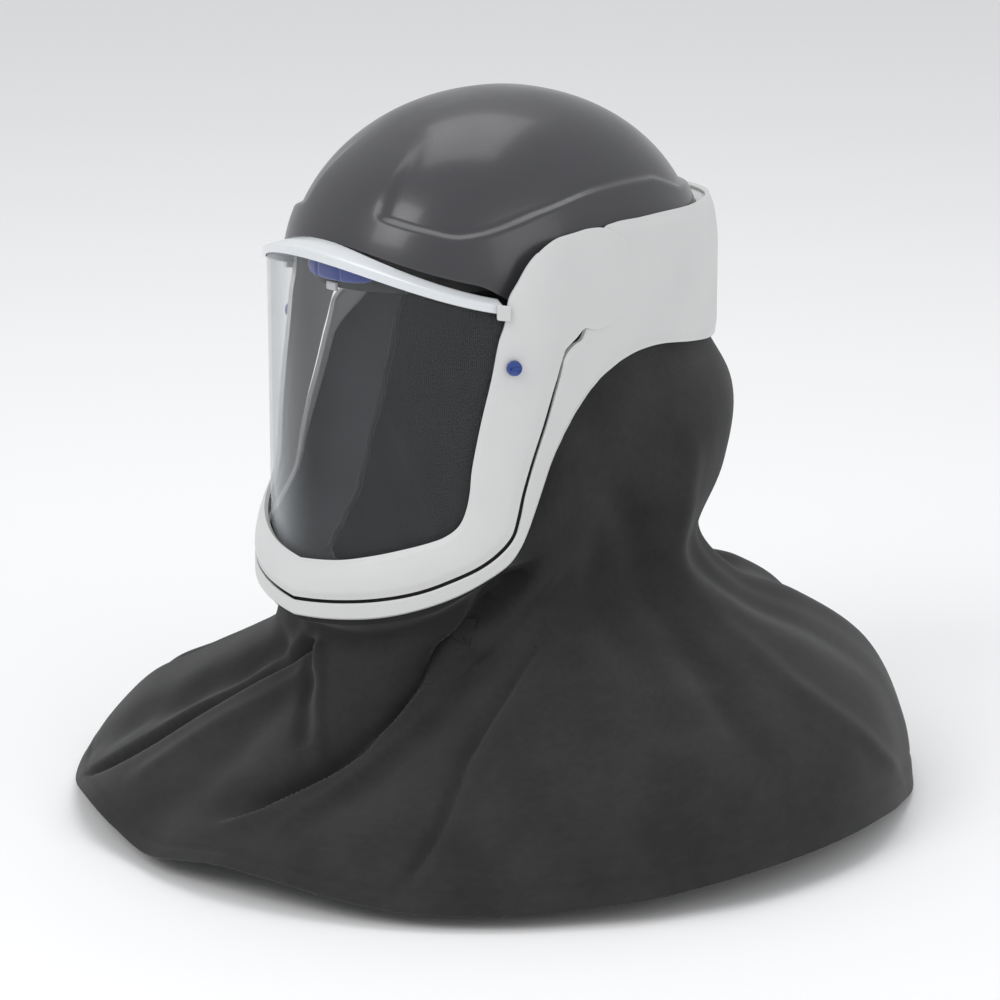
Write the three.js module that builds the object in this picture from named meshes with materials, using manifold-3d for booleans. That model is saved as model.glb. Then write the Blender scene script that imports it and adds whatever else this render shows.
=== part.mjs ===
// Powered respirator helmet: crown shell, wrap-around band, lifting visor and cloth shroud.
// Millimetres. +Z is up, the wearer faces -Y, and +X is the wearer's left.
// The origin is the middle of the head at the level of the head band.
import * as THREE from "three";
import { mergeVertices } from "three/addons/utils/BufferGeometryUtils.js";
import Module from "manifold-3d";

const wasm = await Module();
wasm.setup();

// Crown shell
const SHELL_HALF_WIDTH = 104;
const SHELL_FRONT = 135;
const SHELL_REAR = 138;
const SHELL_HEIGHT = 111;
const SHELL_SQUARENESS = 2.3;
const SHELL_WALL = 3;
const RECESS_DEPTH = 3.5;
const RECESS_RAMP_DEG = 3.5;

// Side surface that the band, the visor frame and the lens follow
const SIDE_CENTRE_Y = -40;
const SIDE_HALF_WIDTH = SHELL_HALF_WIDTH + 4;
const SIDE_FRONT = SHELL_FRONT + 13 + SIDE_CENTRE_Y;
const SIDE_REAR = SHELL_REAR + 12 - SIDE_CENTRE_Y;
const SIDE_REAR_SQUARENESS = 2.3;
const SIDE_DOME_HEIGHT = 150;

// Visor frame, rail, lens and their pivots
const FRAME_WALL = 2.6;
const FRAME_PROUD = 5;
const CHIN_EXTRA_PROUD = 4;
const FRAME_HEIGHT = 185;
const LENS_WALL = 2;
const RAIL_HEIGHT = 26;
const RAIL_ARCH = 0.0027;
const RAIL_FACE = 5;
const RAIL_DEPTH = 14;
const RAIL_WALL = 2;
const RAIL_SHELL_GAP = 1.5;
const RAIL_PROUD = 1.4;
const RAIL_RISE = 3.5;
const RAIL_LENS_GAP = 1.5;
const RAIL_LIP = 1;
const PIVOT_Y = -13.6;
const PIVOT_Z = 7.5;
const LOBE_RADIUS = 30.2;
const LOBE_GAP = 0.8;
const LOBE_FLAT_REACH = 17;
const LOBE_FLAT_X = SIDE_HALF_WIDTH - 0.2;
const PIVOT_PIN_RADIUS = 6;
const LOCK_RADIUS = 4.7;
const LOCK_HEIGHT = 3;

// Band
const BAND_WALL = 3;
const BAND_PROUD = 3.7;
const BAND_LIP_SHARE = 0.1;
const BAND_EDGE_DIP = 0.9;
const BAND_LIP_REACH = 26;

// Inside
const HEADBAND_HALF_WIDTH = 78;
const HEADBAND_FRONT = 121;
const HEADBAND_REAR = 106;
const HEADBAND_HEIGHT = 26;
const HEADBAND_WALL = 2.5;
const HEADBAND_LUG_WIDTH = 16;
const HEADBAND_LUG_HEIGHT = 6;
const HEADBAND_LUG_DROP = 5;
const PAD_HALF_WIDTH = 31;
const PAD_HEIGHT = 15;
const PAD_THICKNESS = 6;
const PAD_BOTTOM = 4;
const SEAL_WALL = 2;
const SEAL_INSET = 2.3;

// Air inlet
const INLET_OUTER_RADIUS = 18;
const INLET_BORE_RADIUS = 14;
const INLET_LENGTH = 36;
const INLET_FLANGE_HEIGHT = 4;
const INLET_FLANGE_RADIUS = 30;
const INLET_TOP = -38;

// Shroud
const SHROUD_WALL = 2;
const HEM_RADIUS = 265;
const HEM_DROP = 330;
const SHROUD_TUCK = 3.5;

// Small gap between pieces that touch
const GAP = 0.35;

const DEG = Math.PI / 180;
const smooth = (t) => THREE.MathUtils.smoothstep(t, 0, 1);
const mix = THREE.MathUtils.lerp;

// Value of a table column at a key, straight between the rows; the keys rise.
function lookUp(rows, key, column, at) {
  const last = rows.length - 1;
  if (at <= rows[0][key]) return rows[0][column];
  if (at >= rows[last][key]) return rows[last][column];
  const i = rows.findIndex((row) => row[key] > at);
  const share = (at - rows[i - 1][key]) / (rows[i][key] - rows[i - 1][key]);
  return mix(rows[i - 1][column], rows[i][column], share);
}

// Crown shell surface: around is 0 at the front, rise is the angle above the rim plane.
function shellPoint(aroundDeg, riseDeg, offset) {
  const s = Math.sin(aroundDeg * DEG);
  const c = Math.cos(aroundDeg * DEG);
  const halfLength = (c > 0 ? SHELL_FRONT : SHELL_REAR) + offset;
  const across = Math.abs(s / (SHELL_HALF_WIDTH + offset)) ** SHELL_SQUARENESS;
  const along = Math.abs(c / halfLength) ** SHELL_SQUARENESS;
  const radius = (across + along) ** (-1 / SHELL_SQUARENESS);
  const lean = riseDeg > 0 ? Math.cos(riseDeg * DEG) : 1;
  const z = (SHELL_HEIGHT + offset) * Math.sin(riseDeg * DEG);
  return new THREE.Vector3(radius * s * lean, -radius * c * lean, z);
}

// Side surface: around is 0 at the chin, and proud is the distance out from it.
function sidePoint(aroundDeg, z, proud) {
  const c = Math.cos(aroundDeg * DEG);
  const squareness = c > 0 ? 2 : SIDE_REAR_SQUARENESS;
  const s = Math.sign(aroundDeg) * (1 - Math.min(1, Math.abs(c)) ** squareness) ** (1 / squareness);
  const lean = z > 0 ? Math.sqrt(1 - (z / SIDE_DOME_HEIGHT) ** 2) : 1;
  const halfLength = (c > 0 ? SIDE_FRONT : SIDE_REAR) + proud;
  return new THREE.Vector3(
    (SIDE_HALF_WIDTH + proud) * s * lean,
    SIDE_CENTRE_Y - halfLength * c * lean,
    z,
  );
}

// Closed solid between an outer and an inner grid of points; wrap joins the last column to the first.
function solidBetween(outer, inner, wrap) {
  const rows = outer.length;
  const columns = outer[0].length;
  const vertices = [];
  for (const grid of [outer, inner]) {
    for (const row of grid) {
      for (const p of row) vertices.push(p.x, p.y, p.z);
    }
  }
  const at = (layer, i, j) => layer * rows * columns + i * columns + (j % columns);
  const faces = [];
  const quad = (a, b, c, d) => faces.push(a, b, c, a, c, d);
  const spans = wrap ? columns : columns - 1;
  for (let i = 0; i < rows - 1; i += 1) {
    for (let j = 0; j < spans; j += 1) {
      quad(at(0, i, j), at(0, i, j + 1), at(0, i + 1, j + 1), at(0, i + 1, j));
      quad(at(1, i, j), at(1, i + 1, j), at(1, i + 1, j + 1), at(1, i, j + 1));
    }
  }
  for (let j = 0; j < spans; j += 1) {
    quad(at(0, 0, j), at(1, 0, j), at(1, 0, j + 1), at(0, 0, j + 1));
    quad(at(0, rows - 1, j), at(0, rows - 1, j + 1), at(1, rows - 1, j + 1), at(1, rows - 1, j));
  }
  for (let i = 0; i < rows - 1 && !wrap; i += 1) {
    quad(at(0, i, 0), at(0, i + 1, 0), at(1, i + 1, 0), at(1, i, 0));
    const j = columns - 1;
    quad(at(0, i, j), at(1, i, j), at(1, i + 1, j), at(0, i + 1, j));
  }
  const raw = new THREE.BufferGeometry();
  raw.setAttribute("position", new THREE.Float32BufferAttribute(vertices, 3));
  raw.setIndex(faces);
  return closeUp(raw);
}

// Merge equal corners, drop triangles without area and turn the faces outward.
function closeUp(raw) {
  raw.deleteAttribute("normal");
  raw.deleteAttribute("uv");
  const merged = mergeVertices(raw, 1e-4);
  const index = merged.index.array;
  const kept = [];
  for (let i = 0; i < index.length; i += 3) {
    const [a, b, c] = [index[i], index[i + 1], index[i + 2]];
    if (a !== b && b !== c && a !== c) kept.push(a, b, c);
  }
  if (enclosedVolume(merged.attributes.position, kept) < 0) {
    for (let i = 0; i < kept.length; i += 3) {
      [kept[i + 1], kept[i + 2]] = [kept[i + 2], kept[i + 1]];
    }
  }
  merged.setIndex(kept);
  return merged;
}

function enclosedVolume(position, index) {
  const [a, b, c] = [new THREE.Vector3(), new THREE.Vector3(), new THREE.Vector3()];
  let volume = 0;
  for (let i = 0; i < index.length; i += 3) {
    a.fromBufferAttribute(position, index[i]);
    b.fromBufferAttribute(position, index[i + 1]);
    c.fromBufferAttribute(position, index[i + 2]);
    volume += a.dot(b.cross(c)) / 6;
  }
  return volume;
}

function toManifold(geometry) {
  const closed = closeUp(geometry.clone());
  return new wasm.Manifold(new wasm.Mesh({
    numProp: 3,
    vertProperties: new Float32Array(closed.attributes.position.array),
    triVerts: new Uint32Array(closed.index.array),
  }));
}

function fromManifold(manifold) {
  const mesh = manifold.getMesh();
  const geometry = new THREE.BufferGeometry();
  geometry.setAttribute("position", new THREE.Float32BufferAttribute(mesh.vertProperties, 3));
  geometry.setIndex(Array.from(mesh.triVerts));
  return geometry;
}

// Solid of revolution about +Z from a closed profile of [radius, z] points.
function turned(profile, segments) {
  const points = [...profile, profile[0]].map(([radius, z]) => new THREE.Vector2(radius, z));
  const geometry = new THREE.LatheGeometry(points, segments);
  return geometry.rotateX(Math.PI / 2);
}

// Disc about the pivot axis between two distances from the middle plane, on one side of the helmet.
function pivotDisc(radius, fromX, toX, side) {
  const disc = new THREE.CylinderGeometry(radius, radius, toX - fromX, 40);
  disc.rotateZ(Math.PI / 2);
  return disc.translate((side * (fromX + toX)) / 2, PIVOT_Y, PIVOT_Z);
}

// Ledge between the skirt and the recessed crown: its rise at angles around from the front.
const LEDGE = [
  { around: 0, rise: 24 },
  { around: 17, rise: 23 },
  { around: 30, rise: 20 },
  { around: 42, rise: 18 },
  { around: 65, rise: 24 },
  { around: 92, rise: 29 },
  { around: 125, rise: 29.5 },
  { around: 140, rise: 24 },
  { around: 180, rise: 22 },
];
const BROW_RIB_DEG = 15;
const BROW_RIB_FADE_DEG = 6;
const BROW_RIB_TOP_DEG = 28;
const BROW_RIB_RISE_DEG = 26;

function recessAt(aroundDeg, riseDeg) {
  const around = Math.abs(aroundDeg);
  const above = smooth((riseDeg - lookUp(LEDGE, "around", "rise", around)) / RECESS_RAMP_DEG);
  const rib = 1 - smooth((around - BROW_RIB_DEG) / BROW_RIB_FADE_DEG);
  const ribFade = 1 - smooth((riseDeg - BROW_RIB_TOP_DEG) / BROW_RIB_RISE_DEG);
  return RECESS_DEPTH * above * (1 - rib * ribFade);
}

// Rim of the shell: arched over the visor at the front, lower behind the band.
const RIM_FRONT_Z = RAIL_HEIGHT + 3;
const RIM_SIDE_Z = -14;
function rimZ(aroundDeg) {
  const around = Math.abs(aroundDeg);
  const x = shellPoint(Math.min(around, 90), 0, 0).x;
  const front = RIM_FRONT_Z - RAIL_ARCH * x * x;
  return mix(front, RIM_SIDE_Z, smooth((around - 45) / 25));
}

function shellGrid(offset, recessed) {
  const columns = 60;
  const rows = 14;
  const rise = (z) => Math.asin(z / SHELL_HEIGHT) / DEG;
  return Array.from({ length: rows + 1 }, (_, i) => Array.from({ length: columns }, (_, j) => {
    const around = (j / columns) * 360 - 180;
    const riseDeg = mix(rise(rimZ(around)), 90, (i / rows) ** 0.9);
    const recess = recessed ? recessAt(around, riseDeg) : 0;
    return shellPoint(around, riseDeg, offset - recess);
  }));
}

function crownShell() {
  return solidBetween(shellGrid(0, true), shellGrid(-SHELL_WALL, true), true);
}

// Solid of the shell's outer form, grown by a clearance, to cut its neighbours with.
function shellForm(clearance) {
  const columns = 64;
  const rises = [-40, -20, -8, 0, 8, 16, 24, 32, 42, 52, 62, 72, 81, 90];
  const ring = (riseDeg) => Array.from({ length: columns }, (_, j) => (
    shellPoint((j / columns) * 360 - 180, riseDeg, clearance)
  ));
  const outer = rises.map(ring);
  const floor = outer[0].map((p) => new THREE.Vector3(0, 0, p.z));
  return solidBetween([floor, ...outer], [floor, ...outer].map((row) => row.map(() => floor[0])), true);
}

// Each ribbon row runs from its first edge to its second, on the left side; the right side mirrors it.
// around and z place the edges on the side surface; z is a share, as frameZ reads it.
const VISOR_FRAME = [
  { around1: 108.1, z1: 0.3183, around2: 108.1, z2: 0.0796, chin: 0 },
  { around1: 106.8, z1: 0.5836, around2: 106.8, z2: -0.0378, chin: 0 },
  { around1: 104.0, z1: 0.7958, around2: 104.0, z2: -0.0811, chin: 0 },
  { around1: 100.5, z1: 0.9602, around2: 100.5, z2: -0.1114, chin: 0 },
  { around1: 97.0, z1: 0.9973, around2: 97.0, z2: -0.1211, chin: 0 },
  { around1: 93.5, z1: 0.9708, around2: 94.6, z2: -0.1108, chin: 0 },
  { around1: 87.3, z1: 0.9019, around2: 92.7, z2: -0.1351, chin: 0 },
  { around1: 81.3, z1: 0.7427, around2: 91.2, z2: -0.1541, chin: 0 },
  { around1: 78.0, z1: 0.5782, around2: 90.0, z2: -0.173, chin: 0 },
  { around1: 74.7, z1: 0.3183, around2: 88.6, z2: -0.2108, chin: 0 },
  { around1: 71.3, z1: 0.0424, around2: 87.3, z2: -0.2514, chin: 0 },
  { around1: 70.0, z1: -0.0703, around2: 85.8, z2: -0.2919, chin: 0 },
  { around1: 68.0, z1: -0.1297, around2: 84.7, z2: -0.3243, chin: 0 },
  { around1: 65.6, z1: -0.2486, around2: 82.0, z2: -0.4054, chin: 0 },
  { around1: 62.2, z1: -0.3892, around2: 78.2, z2: -0.5081, chin: 0.1 },
  { around1: 59.6, z1: -0.5243, around2: 74.9, z2: -0.6108, chin: 0.25 },
  { around1: 58.8, z1: -0.6054, around2: 73.0, z2: -0.6919, chin: 0.35 },
  { around1: 57.5, z1: -0.6676, around2: 71.2, z2: -0.7486, chin: 0.45 },
  { around1: 55.3, z1: -0.7135, around2: 67.2, z2: -0.7946, chin: 0.6 },
  { around1: 51.3, z1: -0.7459, around2: 61.5, z2: -0.8368, chin: 0.7 },
  { around1: 46.0, z1: -0.7676, around2: 54.0, z2: -0.8735, chin: 0.8 },
  { around1: 37.3, z1: -0.7946, around2: 43.5, z2: -0.9168, chin: 0.9 },
  { around1: 28.0, z1: -0.8216, around2: 31.3, z2: -0.9492, chin: 1 },
  { around1: 16.0, z1: -0.8508, around2: 17.0, z2: -0.9746, chin: 1 },
  { around1: 0.0, z1: -0.873, around2: 0.0, z2: -0.9973, chin: 1 },
];

// Share of the frame's full height out at each step from the lens edge to the seam
const FRAME_SECTION = [
  { across: 0, proud: 0.3 },
  { across: 0.12, proud: 0.55 },
  { across: 0.45, proud: 0.85 },
  { across: 0.8, proud: 1 },
  { across: 1, proud: 0.92 },
];

// Rows with one more between two that are far apart round the helmet
const ROW_SPACING_DEG = 9;
function refined(rows) {
  const result = [rows[0]];
  for (let i = 1; i < rows.length; i += 1) {
    const [before, after] = [rows[i - 1], rows[i]];
    if (Math.abs(before.around1 - after.around1) > ROW_SPACING_DEG) {
      const keys = Object.keys(after);
      result.push(Object.fromEntries(keys.map((key) => [key, mix(before[key], after[key], 0.5)])));
    }
    result.push(after);
  }
  return result;
}

// Half rows from the left pivot to the chin, then mirrored back up the right side.
function bothSides(half, makeRow) {
  const left = half.map((row) => makeRow(row, 1));
  const right = half.slice(0, -1).map((row) => makeRow(row, -1)).reverse();
  return [...left, ...right];
}

// Height of a table's share: below the band's level it is a share of the frame, above it of the lobe.
const LOBE_TOP_Z = PIVOT_Z + LOBE_RADIUS;
const frameZ = (share) => share * (share < 0 ? FRAME_HEIGHT : LOBE_TOP_Z);

function frameProud(row, share) {
  const full = FRAME_PROUD + CHIN_EXTRA_PROUD * row.chin;
  const lobe = smooth((row.around1 - 75) / 8);
  return mix(full * share, FRAME_PROUD, lobe);
}

function visorFrameRow(row, side, inward) {
  return FRAME_SECTION.map(({ across, proud }) => sidePoint(
    side * mix(row.around1, row.around2, across),
    mix(frameZ(row.z1), frameZ(row.z2), across),
    frameProud(row, proud) - inward,
  ));
}

function visorFrame() {
  const rows = refined(VISOR_FRAME);
  const outer = bothSides(rows, (row, side) => visorFrameRow(row, side, 0));
  const inner = bothSides(rows, (row, side) => visorFrameRow(row, side, FRAME_WALL));
  const front = new THREE.BoxGeometry(SIDE_HALF_WIDTH * 3, SIDE_REAR, FRAME_HEIGHT * 3);
  front.translate(0, PIVOT_Y - SIDE_REAR / 2, 0);
  const lobes = pivotDisc(LOBE_RADIUS, -SIDE_HALF_WIDTH * 1.5, SIDE_HALF_WIDTH * 1.5, 1);
  let solid = toManifold(solidBetween(outer, inner, false));
  solid = solid.intersect(toManifold(front).add(toManifold(lobes)));
  for (const side of [1, -1]) {
    const clearing = pivotDisc(LOBE_RADIUS + LOBE_FLAT_REACH, 0, LOBE_FLAT_X, side);
    solid = solid.subtract(toManifold(clearing));
  }
  return fromManifold(solid);
}

const railZ = (x) => RAIL_HEIGHT - RAIL_ARCH * x * x;
const RAIL_END_DEG = 69.4;

function visorRail() {
  const steps = 26;
  const section = (around) => {
    const top = railZ(sidePoint(around, 0, 0).x);
    const back = top + RAIL_RISE;
    const outer = [[RAIL_PROUD, top - RAIL_FACE], [RAIL_PROUD, top], [-RAIL_DEPTH, back]];
    const inner = [
      [-RAIL_LIP, top - RAIL_FACE],
      [-RAIL_LIP, top - RAIL_WALL],
      [-RAIL_DEPTH, back - RAIL_WALL],
    ];
    return [outer, inner].map((side) => side.map(([proud, z]) => sidePoint(around, z, proud)));
  };
  const sections = Array.from({ length: steps + 1 }, (_, i) => (
    section(mix(-RAIL_END_DEG, RAIL_END_DEG, i / steps))
  ));
  const rail = solidBetween(sections.map((s) => s[0]), sections.map((s) => s[1]), false);
  return fromManifold(toManifold(rail).subtract(toManifold(shellForm(RAIL_SHELL_GAP))));
}

// Side edge of the lens, tucked under the frame, from the rail down to the chin
const LENS_EDGE = [
  { down: 0, around: 72 },
  { down: 0.25, around: 69.5 },
  { down: 0.5, around: 65 },
  { down: 0.75, around: 61.5 },
  { down: 1, around: 59 },
];
const LENS_FOOT = [
  { around: 0, z: -0.9 },
  { around: 17, z: -0.8784 },
  { around: 28, z: -0.8486 },
  { around: 46, z: -0.7946 },
  { around: 59, z: -0.7081 },
];

const LENS_FOOT_DEG = LENS_FOOT[LENS_FOOT.length - 1].around;

function lensGrid(proud) {
  const across = 26;
  const down = 6;
  return Array.from({ length: down + 1 }, (_, i) => Array.from({ length: across + 1 }, (_, j) => {
    const share = i / down;
    const side = (j / across) * 2 - 1;
    const around = side * lookUp(LENS_EDGE, "down", "around", share);
    const topX = sidePoint(side * LENS_EDGE[0].around, 0, 0).x;
    const top = railZ(topX) - RAIL_WALL - RAIL_LENS_GAP;
    const foot = frameZ(lookUp(LENS_FOOT, "around", "z", Math.abs(side) * LENS_FOOT_DEG));
    return sidePoint(around, mix(top, foot, share), proud);
  }));
}

// The lens lies behind the thin edge of the frame.
const LENS_PROUD = FRAME_PROUD * FRAME_SECTION[0].proud - FRAME_WALL - GAP;

function visorLens() {
  return solidBetween(lensGrid(LENS_PROUD), lensGrid(LENS_PROUD - LENS_WALL), false);
}

// Band and chin strip, from the rear middle to the chin; rise is the share of the way from the band's
// height out to the visor frame's.
const BAND_FRAME = [
  { around1: 180, z1: 0.9284, around2: 180, z2: -0.2811, rise: 0, chin: 0 },
  { around1: 170, z1: 0.9284, around2: 170, z2: -0.2811, rise: 0, chin: 0 },
  { around1: 160, z1: 0.939, around2: 160, z2: -0.2811, rise: 0, chin: 0 },
  { around1: 150, z1: 0.9549, around2: 150, z2: -0.2784, rise: 0, chin: 0 },
  { around1: 140, z1: 0.9682, around2: 139.5, z2: -0.2703, rise: 0, chin: 0 },
  { around1: 130.5, z1: 0.9814, around2: 128, z2: -0.2486, rise: 0, chin: 0 },
  { around1: 120, z1: 1.008, around2: 117, z2: -0.2238, rise: 0, chin: 0 },
  { around1: 112, z1: 1.008, around2: 110, z2: -0.2238, rise: 0, chin: 0 },
  { around1: 105, z1: 1.008, around2: 105, z2: -0.2405, rise: 0, chin: 0 },
  { around1: 101, z1: 0.9019, around2: 101.5, z2: -0.2649, rise: 0, chin: 0 },
  { around1: 98, z1: 0.3714, around2: 99.3, z2: -0.2838, rise: 0, chin: 0 },
  { around1: 96.5, z1: -0.0541, around2: 97.6, z2: -0.3043, rise: 0.2, chin: 0 },
  { around1: 94.6, z1: -0.1405, around2: 96, z2: -0.3243, rise: 0.5, chin: 0 },
  { around1: 92.4, z1: -0.1595, around2: 94, z2: -0.3568, rise: 0.9, chin: 0 },
  { around1: 90.4, z1: -0.1892, around2: 92.3, z2: -0.3892, rise: 1, chin: 0 },
  { around1: 88.4, z1: -0.2595, around2: 89.8, z2: -0.4486, rise: 1, chin: 0 },
  { around1: 85.9, z1: -0.3324, around2: 86.9, z2: -0.4973, rise: 1, chin: 0 },
  { around1: 83.2, z1: -0.4135, around2: 84.6, z2: -0.5459, rise: 1, chin: 0 },
  { around1: 79.4, z1: -0.5135, around2: 82, z2: -0.6108, rise: 1, chin: 0.1 },
  { around1: 76.1, z1: -0.6135, around2: 79.2, z2: -0.6811, rise: 1, chin: 0.25 },
  { around1: 74.3, z1: -0.6946, around2: 76.7, z2: -0.7432, rise: 1, chin: 0.35 },
  { around1: 72.3, z1: -0.7568, around2: 74, z2: -0.7973, rise: 1, chin: 0.45 },
  { around1: 68, z1: -0.8054, around2: 70, z2: -0.8459, rise: 1, chin: 0.6 },
  { around1: 62, z1: -0.8486, around2: 63, z2: -0.8919, rise: 1, chin: 0.7 },
  { around1: 54.3, z1: -0.8859, around2: 55, z2: -0.9351, rise: 1, chin: 0.8 },
  { around1: 43.8, z1: -0.9286, around2: 44.3, z2: -0.9784, rise: 1, chin: 0.9 },
  { around1: 31.4, z1: -0.9611, around2: 31.6, z2: -1.0151, rise: 1, chin: 1 },
  { around1: 17, z1: -0.9865, around2: 17, z2: -1.04, rise: 1, chin: 1 },
  { around1: 0, z1: -1.0097, around2: 0, z2: -1.0595, rise: 1, chin: 1 },
];

const BAND_SECTION = [
  { across: 0, proud: -BAND_EDGE_DIP },
  { across: 0.1, proud: 0 },
  { across: 0.5, proud: 0 },
  { across: 0.88, proud: 0 },
  { across: 1, proud: -BAND_EDGE_DIP },
];

function bandRow(row, side, inward, section) {
  const full = mix(BAND_PROUD, FRAME_PROUD + CHIN_EXTRA_PROUD * row.chin, row.rise);
  return section.map(({ across, proud }) => sidePoint(
    side * mix(row.around1, row.around2, across),
    mix(frameZ(row.z1), frameZ(row.z2), across),
    full + proud - inward,
  ));
}

// Rows from the rear middle down one side, round the chin and back up the other.
function bandRibbon(inward, section) {
  const rows = refined(BAND_FRAME);
  return bothSides(rows, (row, side) => bandRow(row, side, inward, section)).slice(0, -1);
}

function bandFrame() {
  const wall = solidBetweenRings(bandRibbon(0, BAND_SECTION), bandRibbon(BAND_WALL, BAND_SECTION));
  const lipSection = [
    { across: 0.01, proud: -1 },
    { across: BAND_LIP_SHARE, proud: -1 },
  ];
  const rearRows = BAND_FRAME.filter((row) => row.around1 > 104);
  const lipRows = (inward) => {
    const left = rearRows.map((row) => bandRow(row, 1, inward, lipSection)).reverse();
    const right = rearRows.slice(1).map((row) => bandRow(row, -1, inward, lipSection));
    return [...left, ...right];
  };
  const lip = solidBetween(lipRows(0), lipRows(BAND_LIP_REACH), false);
  let solid = toManifold(wall).add(toManifold(lip)).subtract(toManifold(shellForm(GAP)));
  for (const side of [1, -1]) {
    const opening = pivotDisc(LOBE_RADIUS + LOBE_GAP, 0, SIDE_HALF_WIDTH * 2, side);
    solid = solid.subtract(toManifold(opening));
  }
  return fromManifold(solid);
}

// Closed ring whose rows run round a loop and whose columns cross the ribbon.
function solidBetweenRings(outer, inner) {
  const turn = (grid) => grid[0].map((_, j) => grid.map((row) => row[j]));
  return solidBetween(turn(outer), turn(inner), true);
}

// Face seal: cloth from the chin strip and temples in to the face opening. Lengths are shares of the
// side surface's half width, the visor frame's height and the front length.
const FACE_SEAL = [
  { outAround: 99, outZ: -0.13, inX: 0.6, inY: 0.2, inZ: -0.1 },
  { outAround: 97, outZ: -0.2, inX: 0.6, inY: 0.15, inZ: -0.2 },
  { outAround: 91, outZ: -0.29, inX: 0.6, inY: 0.08, inZ: -0.36 },
  { outAround: 86, outZ: -0.42, inX: 0.61, inY: 0.02, inZ: -0.5 },
  { outAround: 81, outZ: -0.55, inX: 0.6, inY: -0.06, inZ: -0.61 },
  { outAround: 77, outZ: -0.655, inX: 0.57, inY: -0.13, inZ: -0.7 },
  { outAround: 73, outZ: -0.762, inX: 0.53, inY: -0.22, inZ: -0.79 },
  { outAround: 62, outZ: -0.862, inX: 0.43, inY: -0.42, inZ: -0.875 },
  { outAround: 43.8, outZ: -0.94, inX: 0.3, inY: -0.6, inZ: -0.925 },
  { outAround: 20, outZ: -0.995, inX: 0.13, inY: -0.68, inZ: -0.945 },
  { outAround: 0, outZ: -1.018, inX: 0, inY: -0.7, inZ: -0.955 },
];

// How far the inner face of the band lies out from the side surface
const BAND_FROM_CHIN = [...BAND_FRAME].reverse();
function bandInside(around) {
  const rise = lookUp(BAND_FROM_CHIN, "around2", "rise", Math.abs(around));
  const chin = lookUp(BAND_FROM_CHIN, "around2", "chin", Math.abs(around));
  return mix(BAND_PROUD, FRAME_PROUD + CHIN_EXTRA_PROUD * chin, rise) - BAND_WALL;
}

function faceSealRow(row, side) {
  const around = side * row.outAround;
  const start = sidePoint(around, row.outZ * FRAME_HEIGHT, bandInside(around) - SEAL_INSET);
  const end = new THREE.Vector3(
    side * row.inX * SIDE_HALF_WIDTH,
    SIDE_CENTRE_Y + row.inY * SIDE_FRONT,
    row.inZ * FRAME_HEIGHT,
  );
  return [0, 0.33, 0.66, 1].map((share) => start.clone().lerp(end, share));
}

function faceSeal() {
  const outer = bothSides(FACE_SEAL, faceSealRow);
  const inner = offsetGrid(outer, SEAL_WALL, false);
  return solidBetween(outer, inner, false);
}

// Grid moved along its own normals; positive distance goes to the inner side.
function offsetGrid(grid, distance, wrap) {
  const rows = grid.length;
  const columns = grid[0].length;
  return grid.map((row, i) => row.map((p, j) => {
    const before = wrap ? (j + columns - 1) % columns : Math.max(j - 1, 0);
    const after = wrap ? (j + 1) % columns : Math.min(j + 1, columns - 1);
    const along = grid[i][after].clone().sub(grid[i][before]);
    const down = grid[Math.min(i + 1, rows - 1)][j].clone().sub(grid[Math.max(i - 1, 0)][j]);
    const normal = along.cross(down).normalize();
    return p.clone().addScaledVector(normal, distance);
  }));
}

// Oval ring of the head band, with four lugs out to the shell.
function ovalPoint(around, offset) {
  const c = Math.cos(around);
  const halfLength = (c > 0 ? HEADBAND_FRONT : HEADBAND_REAR) + offset;
  return new THREE.Vector2((HEADBAND_HALF_WIDTH + offset) * Math.sin(around), -halfLength * c);
}

function headband() {
  const steps = 48;
  const ring = (offset, z) => Array.from({ length: steps }, (_, j) => {
    const p = ovalPoint((j / steps) * Math.PI * 2, offset);
    return new THREE.Vector3(p.x, p.y, z);
  });
  const outer = [ring(HEADBAND_WALL, 0), ring(HEADBAND_WALL, HEADBAND_HEIGHT)];
  const inner = [ring(0, 0), ring(0, HEADBAND_HEIGHT)];
  let solid = toManifold(solidBetween(outer, inner, true));
  const lugZ = HEADBAND_HEIGHT - HEADBAND_LUG_DROP;
  for (const around of [45, 135, 225, 315]) {
    const start = ovalPoint(around * DEG, HEADBAND_WALL / 2);
    const lug = new THREE.BoxGeometry(SHELL_HALF_WIDTH, HEADBAND_LUG_WIDTH, HEADBAND_LUG_HEIGHT);
    lug.translate(SHELL_HALF_WIDTH / 2, 0, lugZ);
    lug.rotateZ(Math.atan2(start.y, start.x));
    lug.translate(start.x, start.y, 0);
    solid = solid.add(toManifold(lug).intersect(toManifold(shellForm(-SHELL_WALL - GAP))));
  }
  return fromManifold(solid);
}

// Cushion across the forehead, in front of the head band
function browPad() {
  const steps = 20;
  const reach = Math.asin(PAD_HALF_WIDTH / HEADBAND_HALF_WIDTH);
  const section = [[0, 0.12], [0.35, 0], [0.75, 0.03], [1, 0.25], [1, 0.75], [0.75, 0.97], [0.35, 1], [0, 0.88]];
  const rings = Array.from({ length: steps + 1 }, (_, i) => {
    const share = (i / steps) * 2 - 1;
    const swell = Math.sqrt(1 - 0.8 * share ** 6);
    return section.map(([out, up]) => {
      const p = ovalPoint(share * reach, HEADBAND_WALL + GAP + out * PAD_THICKNESS * swell);
      const z = PAD_BOTTOM + PAD_HEIGHT * (0.5 + (up - 0.5) * swell);
      return new THREE.Vector3(p.x, p.y, z);
    });
  });
  const middle = rings.map((ring) => {
    const centre = new THREE.Vector3();
    for (const p of ring) centre.addScaledVector(p, 1 / ring.length);
    return ring.map(() => centre);
  });
  const capped = [middle[0], ...rings, middle[steps]];
  return solidBetween(capped, capped.map((row) => row.map(() => middle[0][0])), true);
}

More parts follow.
